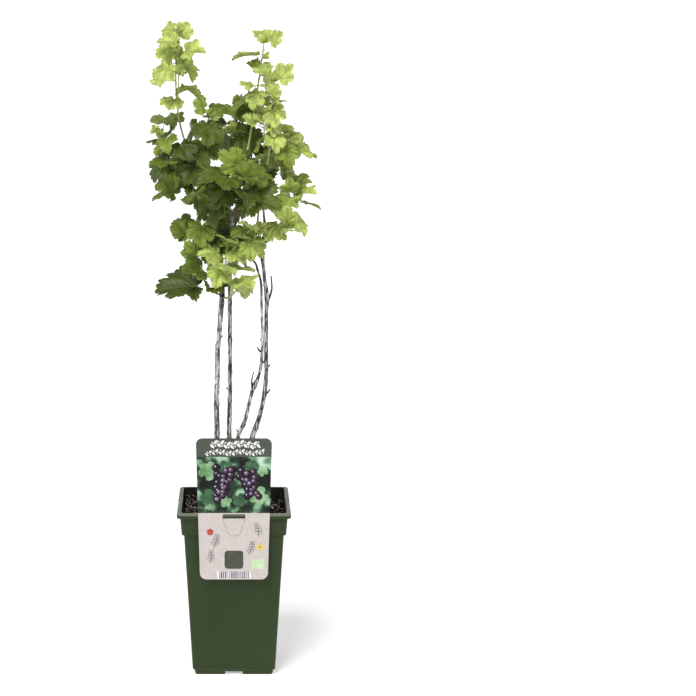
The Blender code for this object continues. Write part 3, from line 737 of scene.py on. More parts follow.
# %% Picture on the card
dice = random.Random(21)
PICTURE_MIDDLE = (BAND_FOOT + PICTURE_FOOT) / 2
for x, z, size, turn, tone in ((-32, 17, 27, 0.5, 1), (-10, 21, 21, -0.4, 0), (20, 19, 25, 0.9, 0),
                               (-31, -15, 24, 2.3, 0), (31, -13, 27, -2.0, 1), (6, -18, 20, 2.8, 0),
                               (35, 17, 15, -0.5, 1), (-10, -20, 17, -2.6, 1)):
    finish = (ink_leaf_dark, ink_leaf)[tone]
    lobed_leaf(finish, x * MM, PICTURE_MIDDLE + z * MM, size * MM, turn, 1 + tone)
for top_x, top_z, lean, length, number in ((-11, 25, -7, 42, 21), (15, 21, 9, 36, 17)):
    spine = []
    for k in range(10):
        t = k / 9
        spine.append(((top_x + lean * t * t) * MM, PICTURE_MIDDLE + (top_z - length * t) * MM))
    ink_line(ink_leaf, spine, 0.9 * MM, 3)
    for berry in range(number):
        t = 0.10 + 0.90 * berry / (number - 1)
        side = (-1, 1, 0)[berry % 3] * (9.0 - 5.0 * t) + dice.uniform(-2.4, 2.4)
        x = (top_x + lean * t * t + side) * MM
        z = PICTURE_MIDDLE + (top_z - length * t + dice.uniform(-1.8, 1.8)) * MM
        radius = dice.uniform(3.8, 5.9) * (1.06 - 0.15 * t) * MM
        layer = 4 + berry % 3
        disc(berry_ink, x, z, radius, layer)
        disc(blooms[berry % 3], x - radius * 0.12, z + radius * 0.16, radius * 0.62, layer + 5)
        disc(ink_glint, x - radius * 0.30, z + radius * 0.36, radius * 0.20, layer + 10)

# %% Patches and drawings on the card
SLOT_FOOT = SLOT_TOP - SLOT_HEIGHT
tongue = [(-SLOT_WIDTH / 2, SLOT_FOOT)]
for k in range(13):
    angle = math.pi * k / 12
    tongue.append((-9.5 * MM * math.cos(angle), SLOT_FOOT - 13 * MM - 9.0 * MM * math.sin(angle)))
tongue.append((SLOT_WIDTH / 2, SLOT_FOOT))
ink_line(ink_grey, tongue, 0.34 * MM)
STRIPES_MIDDLE = 135.8
for finish, x, z, width, height, corner in ((ink_olive, 0, 155, 23, 23, 4),
                                            (ink_pale_green, 29.5, 149.5, 15.5, 12, 1.2),
                                            (ink_white, 0, STRIPES_MIDDLE, 41, 9.4, 0.6)):
    rounded_patch(finish, x * MM, z * MM, width * MM, height * MM, corner * MM)
for number in range(15):
    x = (-17.5 + 2.5 * number) * MM
    rounded_patch(ink_stripe, x, STRIPES_MIDDLE * MM, (0.7 + 1.2 * dice.random()) * MM, 9 * MM, 0.1 * MM, 2)

for rise, reach, leaf in ((15.5, 30, 6.0), (5.5, 36, 4.4)):
    vine = [(x * MM, BAND_FOOT + (rise + 1.2 * math.sin(x * 0.23)) * MM) for x in range(-reach, reach + 1, 2)]
    ink_line(ink_white, vine, 0.5 * MM, 1)
    for number, (x, z) in enumerate(vine[1:-1:2]):
        hand = (-1, 1)[number % 2]
        flat_shape(ink_white, pointed_leaf(x, z, leaf * MM, math.pi / 2 - hand * 0.85)[:-1], 2)
        disc(ink_white, x + 1.6 * MM, z - hand * 0.4 * leaf * MM, 0.17 * leaf * MM, 2)
for x, z, finish in ((-29, 190, ink_red), (32, 171, ink_yellow)):
    for petal in range(5):
        turn = petal * math.tau / 5
        disc(finish, (x + 2.5 * math.sin(turn)) * MM, (z + 2.5 * math.cos(turn)) * MM, 1.9 * MM, 2)
    disc(ink_grey, x * MM, z * MM, 1.2 * MM, 3)
for x0, base, lean in ((-30, 150, 0.14), (30, 184, -0.2), (-25, 170, 0.3), (18, 161, 0.3)):
    sprig = [((x0 + lean * 14 * t + 1.2 * math.sin(t * 3)) * MM, (base + 15 * t) * MM)
             for t in (k / 8 for k in range(9))]
    ink_line(ink_grey, sprig, 0.55 * MM)
    for step in (2, 4, 6, 8):
        for hand in (-1, 1):
            ink_line(ink_grey, pointed_leaf(*sprig[step], (6.2 - 0.35 * step) * MM, hand * 0.95), 0.45 * MM)
print("faces of ink", sum(len(form.faces) for form, _ in inks.values()))

# %% Gather the card
for (label, layer), (form, finish) in inks.items():
    gathered_piece(f"{label}_{layer}", form, finish, "card")
finish_piece(flap, "card")
finish_piece(card, "card", "plant_card")
print("ink layers", len(inks))

# %% [markdown]
# ## Old bark
# The stems are last year's wood and older. Their skin is pale grey and splits lengthwise into dark
# fissures and patches. Near the foot it has a faint pink tinge. The boughs that carry the leaves are
# younger, browner and smoother. The pattern is noise stretched along the stem. The big fissures are
# modelled in the mesh, and the shader carries the fine ones, so light still catches them up close.

# %% Bark finishes
TINGE_FULL, TINGE_GONE = 0.26, 0.42


def bark(name, pale, mid, dark, fissure=0.5, tinge=None):
    made = Finish(name, Base_Color=mid, Roughness=0.88, Specular_IOR_Level=0.2)
    strands = made.noise(made.place((620, 620, 30)), 1.0, 5.0, 0.62)
    cracks = made.noise(made.place((980, 980, 90)), 1.0, 4.0, 0.7)
    patches = made.noise(made.place((250, 250, 75)), 1.0, 4.0, 0.62)
    colour = made.ramp(strands, (0.39, dark), (0.47, mid), (0.58, pale))
    open_crack = cracks.clamp(0.53, 0.60)
    colour = made.blend(open_crack * fissure, colour, dark)
    colour = made.blend(patches.clamp(0.475, 0.565) * fissure * 0.9, colour, dark)
    if tinge:
        height = made.axis(made.place(), 2)
        colour = made.blend((1.0 - height.clamp(TINGE_FULL, TINGE_GONE)) * 0.5, colour, tinge, "MULTIPLY")
    made.link("Base Color", colour)
    made.bump(strands * 1.5 - open_crack * 0.8, 0.0009, 1.0)
    return made


stem_bark = bark("stem_bark", (0.77, 0.75, 0.735, 1), (0.36, 0.342, 0.33, 1), (0.020, 0.017, 0.016, 1),
                 0.95, (0.93, 0.79, 0.82, 1))
bough_bark = bark("bough_bark", (0.30, 0.26, 0.19, 1), (0.15, 0.12, 0.08, 1), (0.024, 0.018, 0.012, 1), 0.6)
dead_bark = bark("dead_wood", (0.10, 0.082, 0.075, 1), (0.030, 0.023, 0.02, 1), (0.008, 0.006, 0.005, 1), 0.7)
woody_bark = bark("woody_shoot", (0.26, 0.25, 0.11, 1), (0.155, 0.145, 0.055, 1), (0.06, 0.045, 0.02, 1), 0.3)
green_bark = bark("green_shoot", (0.60, 0.66, 0.30, 1), (0.48, 0.55, 0.20, 1), (0.28, 0.32, 0.10, 1), 0.15)

# %% [markdown]
# ## Stems and boughs as relief
# The plain solids are seven- and eight-sided tubes through a few points. The same points are used here,
# joined by a smooth curve and cut into a ring every millimetre or so. Each ring's corners then move in and
# out: by long fissures, by slow lumps, and by a slight swelling at each node.

# %% The limbs' points
STEMS = {
    "stem_left": ((-20, -6, 0, 4.7), (-20.5, -6, 8, 3.8), (-21, -6, 30, 3.4), (-21, -5, 93, 3.3),
                  (-21.5, -4, 127, 3.4), (-21, -3, 165, 3.2), (-20, -3, 202, 3.1),
                  (-18, -4, 229, 3.0), (-14, -5, 280, 3.2)),
    "stem_middle": ((-7, 10, 0, 4.2), (-7, 10, 8, 3.4), (-6, 10, 93, 3.1), (-5, 11, 160, 2.9),
                    (-5, 12, 229, 2.7), (-5, 13, 284, 2.5), (-4, 14, 341, 2.3), (-3, 14, 371, 2.1)),
    "stem_inner": ((4, -6, 0, 3.3), (4, -6, 8, 2.7), (4, -6, 60, 2.5), (5, -6, 95, 2.6),
                   (12, -5, 111, 2.7), (16, -5, 125, 2.3), (22, -5, 151, 2.3), (25, -5, 159, 3.1),
                   (30, -4, 170, 2.1), (34, -4, 190, 1.9), (35, -4, 221, 1.8), (34, -4, 260, 1.6),
                   (33, -3, 290, 1.5), (28, -2, 308, 1.4)),
    "stem_outer": ((10, 6, 0, 4.4), (10, 6, 8, 3.6), (12, 6, 41, 3.4), (24, 7, 95, 3.3),
                   (30, 7, 112, 3.1), (37, 7, 141, 2.8), (40, 7, 169, 2.7), (40, 7, 202, 2.5),
                   (40, 7, 250, 2.3), (41, 7, 267, 3.0), (38, 7, 292, 2.1), (35, 6, 326, 1.9),
                   (34, 6, 335, 2.1), (38, 6, 352, 1.6), (36, 5, 381, 1.3), (36, 4, 401, 1.2)),
}
BOUGHS = {
    "bough_left": ("stem_middle", "tip", ((-13, 12, 588), (-30, 8, 612), (-46, 5, 633), (-54, 4, 648)),
                   1.9, 1.5),
    "bough_centre": ("stem_middle", (545, 60), ((4, 27, 566), (3, 32, 600), (-3, 30, 632)), 1.7, 1.3),
    "bough_leader": ("stem_inner", "tip", ((19, -2, 521), (12, -3, 529), (5, -4, 544), (1, -4, 556),
                                           (5, -3, 590), (13, 0, 630), (17, 1, 652)), 1.3, 1.1),
    "bough_right": ("stem_outer", "tip", ((37, 3, 614), (41, 2, 634)), 1.1, 1.0),
    "bough_low_right": ("stem_outer", (533, 20), ((50, 12, 545), (62, 15, 566)), 1.3, 1.1),
    "bough_low_back": ("stem_outer", (500, 110), ((33, 26, 522), (30, 40, 552)), 1.4, 1.1),
    "spur_outer": ("stem_outer", (464, 10), ((46.8, 8, 478), (45.8, 8, 495)), 1.2, 0.6),
    "spur_inner": ("stem_inner", (356, 215), ((22, -9, 366), (24.5, -9, 378)), 1.1, 0.5),
}


def place_on(limb, where):
    """Point and direction, a clearance off a limb: past its tip, or beside it at a height."""
    points, radii = limb
    if where == "tip":
        direction = (points[-1] - points[-2]).normalized()
        return points[-1] + direction * GAP, direction
    height, azimuth = where[0] * MM, math.radians(where[1])
    for low, high, r_low, r_high in zip(points, points[1:], radii, radii[1:]):
        if low.z <= height <= high.z:
            break
    share = (height - low.z) / (high.z - low.z)
    centre = low.lerp(high, share)
    along = (high - low).normalized()
    level = Vector((math.cos(azimuth), math.sin(azimuth), 0))
    direction = (level - along * level.dot(along)).normalized()
    return centre + direction * (max(r_low, r_high) + GAP), direction


limbs = {}
for name, rows in STEMS.items():
    points = [Vector((x * MM, y * MM, STEM_FOOT + z * MM)) for x, y, z, _ in rows]
    points[1].x, points[1].y = points[0].x, points[0].y
    limbs[name] = (points, [row[3] * MM for row in rows])
for name, (parent, where, way, thick, thin) in BOUGHS.items():
    start, direction = place_on(limbs[parent], where)
    points = [start, start + direction * 3 * MM] + [Vector(point) * MM for point in way]
    last = len(points) - 1
    limbs[name] = (points, [(thick + (thin - thick) * i / last) * MM for i in range(len(points))])
print("limbs", len(limbs))


# %% Relief tubes
SWELL_REACH = 2.4 * MM
SWELL_SHARE = 0.12


def smooth_path(points, radii, step):
    """Points and radii about a step apart on a smooth curve through the given ones."""
    out = []
    for i in range(len(points) - 1):
        p0, p1 = points[max(i - 1, 0)], points[i]
        p2, p3 = points[i + 1], points[min(i + 2, len(points) - 1)]
        run = (p2 - p1).length
        m1 = (p2 - p0) * (run / max((p2 - p0).length, 1e-6))
        m2 = (p3 - p1) * (run / max((p3 - p1).length, 1e-6))
        count = max(2, round(run / step))
        for k in range(count):
            t = k / count
            a, b = 2 * t ** 3 - 3 * t * t + 1, t ** 3 - 2 * t * t + t
            point = p1 * a + m1 * b + p2 * (1 - a) + m2 * (t ** 3 - t * t)
            out.append((point, radii[i] + (radii[i + 1] - radii[i]) * t))
    out.append((points[-1], radii[-1]))
    return [point for point, _ in out], [radius for _, radius in out]


def relief_tube(form, points, radii, sides, depth, nodes_at=()):
    """A tube with long fissures, lumps, and a swelling at each of its nodes."""
    rings = ring_tube(form, points, radii, sides)
    run = 0.0
    for index, (ring, centre) in enumerate(zip(rings, points)):
        run += (points[index] - points[max(index - 1, 0)]).length
        swell = sum(math.exp(-((run - place) / SWELL_REACH) ** 2) for place in nodes_at)
        lump = noise.noise(Vector((centre.x * 40, 5.5, run * 110)))
        for vert in ring:
            out = vert.co - centre
            strand = noise.noise(Vector((vert.co.x * 560, vert.co.y * 560, run * 42)))
            crack = noise.noise(Vector((vert.co.x * 980, vert.co.y * 980, run * 90 + 9)))
            push = depth * (strand * 1.2 - 2.0 * max(-crack - 0.1, 0)) + radii[index] * 0.10 * lump
            vert.co += out.normalized() * (push + SWELL_SHARE * radii[index] * swell)


def bud(form, point, direction, length, width):
    """A pointed bud that sits on a limb and leans along it."""
    made = bmesh.ops.create_uvsphere(form, u_segments=8, v_segments=7, radius=0.5)["verts"]
    for vert in made:
        vert.co.x *= 1.0 - 0.5 * max(vert.co.z, 0)
        vert.co.y *= 1.0 - 0.5 * max(vert.co.z, 0)
    turn = direction.to_track_quat("Z", "Y").to_matrix().to_4x4()
    size = Matrix.Diagonal((width, width, length, 1))
    place = Matrix.Translation(point) @ turn @ size @ Matrix.Translation((0, 0, 0.3))
    bmesh.ops.transform(form, matrix=place, verts=made)
    for face in faces_at(made):
        face.smooth = True


# %% Stems, boughs and buds
STEM_DRESS = {"step": 1.0, "spacing": 46, "sides": 24, "relief": 0.34, "bud": 3.0}
BOUGH_DRESS = {"step": 1.2, "spacing": 24, "sides": 14, "relief": 0.08, "bud": 2.6}
SUNK_DEPTH = 2.0 * MM


def sunk_start(points, radii, beside):
    """Let a limb start inside the limb that bears it, so that the bark runs on unbroken."""
    direction = (points[1] - points[0]).normalized()
    inside = points[0] - direction * SUNK_DEPTH
    kept = points[2:] if beside else points[1:]
    return [inside] + kept, [radii[0] * 1.15] + radii[-len(kept):]


buds = bmesh.new()
bud_dice = random.Random(4)
for name, (points, radii) in limbs.items():
    is_stem = name in STEMS
    is_spur = name.startswith("spur")
    dress = STEM_DRESS if is_stem else BOUGH_DRESS
    if not is_stem:
        points, radii = sunk_start(points, radii, BOUGHS[name][1] != "tip")
    if is_spur:
        radii = [radius * 1.3 for radius in radii]
    path, widths = smooth_path(points, radii, dress["step"] * MM)
    length = sum(lengths_along(path))
    spacing = dress["spacing"] * MM
    node_places = []
    place = bud_dice.uniform(0.4, 0.9) * spacing
    while place < length - 6 * MM and not is_spur:
        node_places.append(place)
        place += spacing * bud_dice.uniform(0.7, 1.2)
    form = bmesh.new()
    relief_tube(form, path, widths, dress["sides"], dress["relief"] * MM, node_places)
    finish = stem_bark if is_stem else dead_bark if is_spur else bough_bark
    gathered_piece(name + "_bark", form, finish, "bark", name)
    azimuth = bud_dice.uniform(0, math.tau)
    run = 0.0
    for a, b, radius in zip(path, path[1:], widths):
        run += (b - a).length
        if node_places and run >= node_places[0]:
            node_places.pop(0)
            azimuth += math.radians(144)
            along = (b - a).normalized()
            out = Matrix.Rotation(azimuth, 3, along) @ along.orthogonal().normalized()
            size = bud_dice.uniform(0.7, 1.15) * dress["bud"] * MM
            bud(buds, b + out * radius * 0.9, (along * 1.0 + out * 0.75).normalized(), size, size * 0.5)
gathered_piece("buds", buds, bark("bud_scales", (0.22, 0.15, 0.11, 1), (0.10, 0.062, 0.045, 1),
                                  (0.03, 0.02, 0.015, 1), 0.3), "bark")

# %% [markdown]
# ## Dead ends
# Last year's side shoots died back to short stubs that point up along the stem. The left stem was cut
# square where its young shoots now stand, and the wood of the cut has gone nearly black.

# %% Stubs and the cut end
STUBS = (("stem_inner", 402, 200, 6.0), ("stem_inner", 388, 20, 3.5), ("stem_inner", 300, 190, 3.0),
         ("stem_outer", 386, 185, 4.5), ("stem_outer", 381, -10, 3.5), ("stem_outer", 347, 0, 6.5),
         ("stem_outer", 285, 200, 3.0), ("stem_left", 420, 15, 2.5), ("stem_middle", 352, 190, 2.5))
stubs = bmesh.new()
for name, height, azimuth, length in STUBS:
    foot, out = place_on(limbs[name], (height, azimuth))
    rise = Vector((0, 0, 1))
    way = (out * 0.7 + rise) * length * MM
    points = [foot - out * 1.6 * MM, foot + way * 0.25, foot + way * 0.65, foot + way]
    thick = (0.5 + 0.11 * length) * MM
    path, widths = smooth_path(points, [thick * 1.3, thick, thick * 0.75, thick * 0.55], 0.7 * MM)
    relief_tube(stubs, path, widths, 9, 0.10 * MM)
left_points = limbs["stem_left"][0]
cut_along = (left_points[-1] - left_points[-2]).normalized()
cut_path = [left_points[-1] + cut_along * (k * 0.9 - 9.0) * MM for k in range(11)]
cut_widths = [(3.25 + 0.25 * math.sin(k * 0.7)) * MM for k in range(10)] + [2.7 * MM]
relief_tube(stubs, cut_path, cut_widths, 20, 0.25 * MM)
gathered_piece("dead_stubs", stubs, dead_bark, "bark")
print("stubs", len(STUBS))

# %% [markdown]
# ## How this bush puts out its leaves
# Every leafy shoot has an axis that bends from its limb towards a tip. Leaves leave it one by one, each
# turned 137.5 degrees on from the last, which is the golden angle many plants follow. A leaf hangs on a
# stalk and turns its upper side to the light. Before it is kept, it is tested against all that has grown
# already, so no two leaves pass through each other and the gaps in the crown stay open. The rule is the
# one that gave the plain solids their shape, with the same seeds, so the fine leaves land in the same
# places.

# %% The shoots
MASSES = {
    "left_leader": ("bough_left", "tip", (-68, 0, 784), 11, 34, 15, 1, 0.08, 391),
    "left_cluster": ("bough_left", (636, 185), (-88, -4, 668), 9, 38, 22, 1, 0.75, 60),
    "left_inner": ("bough_left", (640, 15), (-30, 4, 686), 6, 36, 18, 0, 0.7, 34),
    "left_low": ("bough_left", (614, 215), (-62, -22, 610), 9, 42, 22, 1, 0.75, 33),
    "centre_low_left": ("stem_middle", (532, 190), (-46, 4, 546), 9, 37, 18, 1, 0.75, 7),
    "centre_dark": ("bough_centre", "tip", (-2, 18, 672), 9, 44, 22, 1, 0.9, 48),
    "centre_front": ("bough_leader", (592, 265), (8, -42, 618), 8, 48, 20, 0, 0.92, 20),
    "low_rosette": ("stem_left", "tip", (-8, -10, 532), 10, 30, 18, 0, 0.0, 33),
    "low_left": ("stem_left", (474, 190), (-38, -9, 494), 1, 56, 14, 0, 0.85, 40),
    "low_right": ("stem_left", (470, 335), (8, -16, 487), 2, 38, 10, 0, 0.2, 26),
    "right_leader": ("bough_leader", "tip", (36, -2, 776), 10, 34, 14, 1, 0.08, 32),
    "right_light": ("bough_right", "tip", (45, -6, 700), 10, 27, 14, 1, 0.0, 23),
    "right_dark": ("bough_right", (626, 10), (62, 4, 662), 6, 38, 16, 1, 0.5, 29),
    "right_low": ("bough_low_right", "tip", (76, 8, 592), 7, 36, 18, 1, 0.4, 42),
    "right_under": ("bough_low_right", (556, 300), (66, -12, 558), 5, 36, 16, 0, 0.05, 30),
    "inner_cluster": ("bough_leader", (536, 300), (20, -22, 548), 5, 26, 12, 0, 0.3, 15),
    "back_left": ("bough_centre", (585, 130), (-44, 62, 618), 9, 42, 22, 1, 0.75, 5),
    "back_right": ("bough_low_back", "tip", (48, 62, 622), 10, 42, 22, 1, 0.7, 40),
    "back_low": ("bough_low_back", (530, 130), (-6, 58, 540), 7, 40, 20, 0, 0.8, 49),
}
AXIS_POINTS = 5
TWIG_SIDES = 3
AXIS_RADIUS = 1.25 * MM
TWIG_RADIUS = 0.95 * MM
STALK_RADIUS = 0.85 * MM
GOLDEN_ANGLE = math.radians(137.5)
TRIES = 40
TWIG_START = (0.25, 0.45)
TWIG_LENGTH = (0.4, 0.6)
TWIG_TURN = 0.5
TWIG_SHARE = 0.45
FIRST_LEAF = 0.25
FIRST_TWIG_LEAF = 0.5
SIZE_RANGE = (0.75, 1.12)
TIP_START = 0.85
TIP_SIZE = 0.85
STALK_RANGE = (0.7, 1.3)
LEAN = (48, 78)
TIP_LEAN = 30
DROOP = (-8, 55)
TIP_DROOP = (-60, 0)
ROLL = (-28, 28)
OVERHANG = 16.0 * MM
LEAF_CLEARANCE = 1.2 * MM
CROWN_TOP = 806.0 * MM
CROWN_HALF = 108.0 * MM
LEAF_WAIST = 0.36
LEAF_LOBES = ((0.0, 0.24, 0.34), (1.12, 0.19, 0.36), (2.15, 0.10, 0.40))
LEAF_SINUS = 0.14
LEAF_SINUS_BREADTH = 0.35
LEAF_ANGLES = (0.17, 0.60, 1.15, 1.72, 2.30, math.pi)
LEAF_FOLD = 0.22
LEAF_CURL = 0.30
LEAF_REACH = LEAF_WAIST - LEAF_SINUS
LIGHT = Vector((0.0, -0.44, 0.90))
TIP_LIGHT = Vector((0.0, -0.82, 0.57))


# %% Plain shapes for the tests
def plain_tube(form, points, radii, sides):
    tangents = tangents_along(points)
    side = tangents[0].orthogonal().normalized()
    rings = []
    for point, tangent, radius in zip(points, tangents, radii):
        side = (side - tangent * side.dot(tangent)).normalized()
        turn = Matrix((side, tangent.cross(side), tangent)).transposed().to_4x4()
        turn.translation = point
        rings.append(bmesh.ops.create_circle(form, segments=sides, radius=radius, matrix=turn)["verts"])
    bridge(form, rings)
    form.faces.new(rings[0])
    form.faces.new(rings[-1])


def plain_edge(angle):
    turn = abs(angle)
    radius = LEAF_WAIST
    for direction, reach, breadth in LEAF_LOBES:
        radius += reach * math.exp(-((turn - direction) / breadth) ** 2)
    return radius - LEAF_SINUS * math.exp(-((turn - math.pi) / LEAF_SINUS_BREADTH) ** 2)


def plain_blade(form, size, turn, fold, thickness):
    angles = [-angle for angle in LEAF_ANGLES[:-1]] + list(LEAF_ANGLES)
    made = bmesh.ops.create_circle(form, cap_ends=True, cap_tris=True, segments=len(angles), radius=1.0)
    rim = [vert for vert in made["verts"] if vert.co.length > 0.5]
    middle = next(vert for vert in made["verts"] if vert.co.length < 0.5)
    rim.sort(key=lambda vert: math.atan2(vert.co.x, vert.co.y) % math.tau)
    angles.sort(key=lambda angle: angle % math.tau)
    for vert, angle in zip(rim, angles):
        radius = plain_edge(angle)
        vert.co = Vector((radius * math.sin(angle), radius * math.cos(angle) + LEAF_REACH, 0))
    middle.co = Vector((0, LEAF_REACH, 0))
    for vert in made["verts"]:
        across, along = vert.co.x, vert.co.y
        vert.co.z = fold * abs(across) - LEAF_CURL * along * along - LEAF_CURL * across * across
        vert.co *= size
    faces = list(faces_at(made["verts"]))
    for vert in made["verts"]:
        vert.co.z -= thickness / 2
    copied = bmesh.ops.extrude_face_region(form, geom=faces)["geom"]
    top = verts_in(copied)
    bmesh.ops.translate(form, vec=(0, 0, thickness), verts=top)
    bmesh.ops.transform(form, matrix=turn, verts=list(made["verts"]) + top)


# %% The growth rule
def mass_axis(row):
    start, direction = place_on(limbs[row[0]], row[1])
    tip = Vector(row[2]) * MM
    bend = start + direction * (tip - start).length * 0.35
    points = [start, start + direction * 3 * MM]
    for i in range(1, AXIS_POINTS + 1):
        t = i / AXIS_POINTS
        points.append(start * (1 - t) ** 2 + bend * 2 * t * (1 - t) + tip * t * t)
    if (points[2] - start).length < 5 * MM:
        points.pop(2)
    return points


def along_path(points, share):
    lengths = lengths_along(points)
    left = share * sum(lengths)
    for a, b, length in zip(points, points[1:], lengths):
        if left <= length or b is points[-1]:
            return a.lerp(b, min(left / length, 1.0)), (b - a).normalized()
        left -= length


def path_distance(point, points):
    best = 1e9
    for a, b in zip(points, points[1:]):
        run = b - a
        share = min(max((point - a).dot(run) / run.length_squared, 0.0), 1.0)
        best = min(best, (point - a - run * share).length)
    return best


def leaf_turn(base, out, pitch, roll, light):
    level = Vector((out.x, out.y, 0))
    if level.length < 0.05:
        level = Vector((1, 0, 0))
    level.normalize()
    midrib = level * math.cos(pitch) - Vector((0, 0, 1)) * math.sin(pitch)
    upper = (light - midrib * light.dot(midrib)).normalized()
    upper = Matrix.Rotation(roll, 3, midrib) @ upper
    turn = Matrix((midrib.cross(upper), midrib, upper)).transposed().to_4x4()
    turn.translation = base
    return turn


def radial(direction, azimuth):
    side = direction.cross(Vector((0, 0, 1)))
    if side.length < 0.05:
        side = direction.cross(Vector((1, 0, 0)))
    return Matrix.Rotation(azimuth, 3, direction) @ side.normalized()


def tree_of(builder):
    form = bmesh.new()
    builder(form)
    bmesh.ops.recalc_face_normals(form, faces=form.faces)
    tree = BVHTree.FromBMesh(form)
    points = [vert.co.copy() for vert in form.verts]
    form.free()
    return tree, points


def ball_round(points):
    """Middle and reach of a cloud of points."""
    middle = sum(points, Vector()) / len(points)
    return middle, max((p - middle).length for p in points)


class Crown:
    """Where every axis runs, and what has grown so far."""

    def __init__(self):
        self.axes = {name: mass_axis(row) for name, row in MASSES.items()}
        self.blocked = []
        for points, radii in limbs.values():
            self.block(tree_of(lambda form: plain_tube(form, points, [r + MM for r in radii], 6)), None)
        for name, axis in self.axes.items():
            radii = [AXIS_RADIUS + MM] * (len(axis) - 1)
            self.block(tree_of(lambda form: plain_tube(form, axis[1:], radii, TWIG_SIDES)), name)

    def block(self, piece, owner):
        tree, points = piece
        self.blocked.append((tree, *ball_round(points), owner))

    def is_clear(self, piece, own=()):
        tree, points = piece
        middle, reach = ball_round(points)
        for other, centre, radius, owner in self.blocked:
            if owner in own or (middle - centre).length > reach + radius:
                continue
            if tree.overlap(other):
                return False
        return True

    def in_space(self, name, points):
        for point in points:
            if point.z > CROWN_TOP or max(abs(point.x), abs(point.y)) > CROWN_HALF:
                return False
            own = path_distance(point, self.axes[name])
            for other, axis in self.axes.items():
                if other != name and path_distance(point, axis) + OVERHANG < own:
                    return False
        return True


def leaf_spots(axis, twigs, leaves):
    paths = [axis] + twigs
    weights = [1.0] + [TWIG_SHARE] * len(twigs)
    spots = []
    for path, weight in zip(paths, weights):
        count = max(2, round(leaves * weight / sum(weights)))
        first = FIRST_LEAF if path is axis else FIRST_TWIG_LEAF
        for i in range(count):
            share = first + (1.0 - first) * (i + 0.5 * (i < count - 1)) / max(count - 1, 1)
            spots.append((path, min(share, 1.0)))
    return spots


def grow_twig(rng, crown, name, azimuth):
    axis = crown.axes[name]
    length = (axis[-1] - axis[0]).length
    for attempt in range(TRIES):
        start, direction = along_path(axis, rng.uniform(*TWIG_START))
        side = radial(direction, azimuth + attempt * TWIG_TURN)
        half = length * rng.uniform(*TWIG_LENGTH) * 0.5
        middle = start + (direction * 0.75 + side * 0.65) * half
        path = [start, middle, middle + (direction + side * 0.25).normalized() * half]
        piece = tree_of(lambda form: plain_tube(form, path, [TWIG_RADIUS + MM] * 3, TWIG_SIDES))
        if crown.is_clear(piece, (name,)) and crown.in_space(name, path):
            crown.block(piece, name)
            return path
    return None


def grow_leaf(rng, crown, name, spot, azimuth, size, stalk):
    path, share = spot
    start, direction = along_path(path, share)
    for attempt in range(TRIES):
        turn = azimuth + rng.uniform(-0.3, 0.3) * (1 + attempt * 0.15)
        lean = math.radians(rng.uniform(*LEAN) - TIP_LEAN * max(share - 0.7, 0) / 0.3)
        width = size * rng.uniform(*SIZE_RANGE) * (TIP_SIZE if share > TIP_START else 1.0)
        length = stalk * rng.uniform(*STALK_RANGE) * (1.0 - 0.012 * attempt)
        out = radial(direction, turn) * math.sin(lean) + direction * math.cos(lean)
        base = start + out * length
        droop = math.radians(rng.uniform(*(TIP_DROOP if share > TIP_START else DROOP)))
        roll = math.radians(rng.uniform(*ROLL))
        place = leaf_turn(base, out, droop, roll, TIP_LIGHT if share > TIP_START else LIGHT)
        fold = LEAF_FOLD * rng.uniform(0.2, 1.8)
        wide = place @ Matrix.Translation((0, -0.02 * width, 0))
        test = tree_of(lambda form: plain_blade(form, width * 1.06, wide, fold, 2 * LEAF_CLEARANCE))
        if not crown.in_space(name, test[1]):
            continue
        ends = [start + out * 2 * MM, base]
        rod = tree_of(lambda form: plain_tube(form, ends, [STALK_RADIUS + 0.6 * MM] * 2, TWIG_SIDES))
        if crown.is_clear(test) and crown.is_clear(rod, (name,)):
            crown.block(test, name + " leaves")
            crown.block(rod, name)
            return start, out, place, width, fold, share
    return None


crown = Crown()
grown = {}
for name, row in MASSES.items():
    leaves, size, stalk, twig_count, _, seed = row[3:]
    rng = random.Random(seed)
    azimuth = rng.uniform(0, math.tau)
    tries = [grow_twig(rng, crown, name, azimuth + i * GOLDEN_ANGLE) for i in range(twig_count)]
    twigs = [path for path in tries if path]
    azimuth = rng.uniform(0, math.tau)
    leafed = []
    for i, spot in enumerate(leaf_spots(crown.axes[name], twigs, leaves)):
        turn = azimuth + (i + 1) * GOLDEN_ANGLE
        leafed.append(grow_leaf(rng, crown, name, spot, turn, size * MM, stalk * MM))
    grown[name] = (twigs, [leaf for leaf in leafed if leaf])
    print(name, "twigs", len(twigs), "leaves", len(grown[name][1]))
print("leaves in all", sum(len(leafed) for _, leafed in grown.values()))

# %% [markdown]
# ## One leaf, up close
# The leaf is lobed like a small hand. Its outline is measured from the blade's middle: a waist, five
# lobes, a notch for the stalk and a scalloped edge. Five veins fan out from the stalk's end to the lobes.
# On the upper side they lie in grooves, and the blade puffs up between them like a quilt. The mesh is a
# fan of rays from the stalk's end, so its rays run with the veins. The shader draws the side veins.

# %% Leaf shape
VEINS = (0.0, 0.82, 1.65)
SCALLOPS = 12
LEAF_SHEET = 0.32 * MM


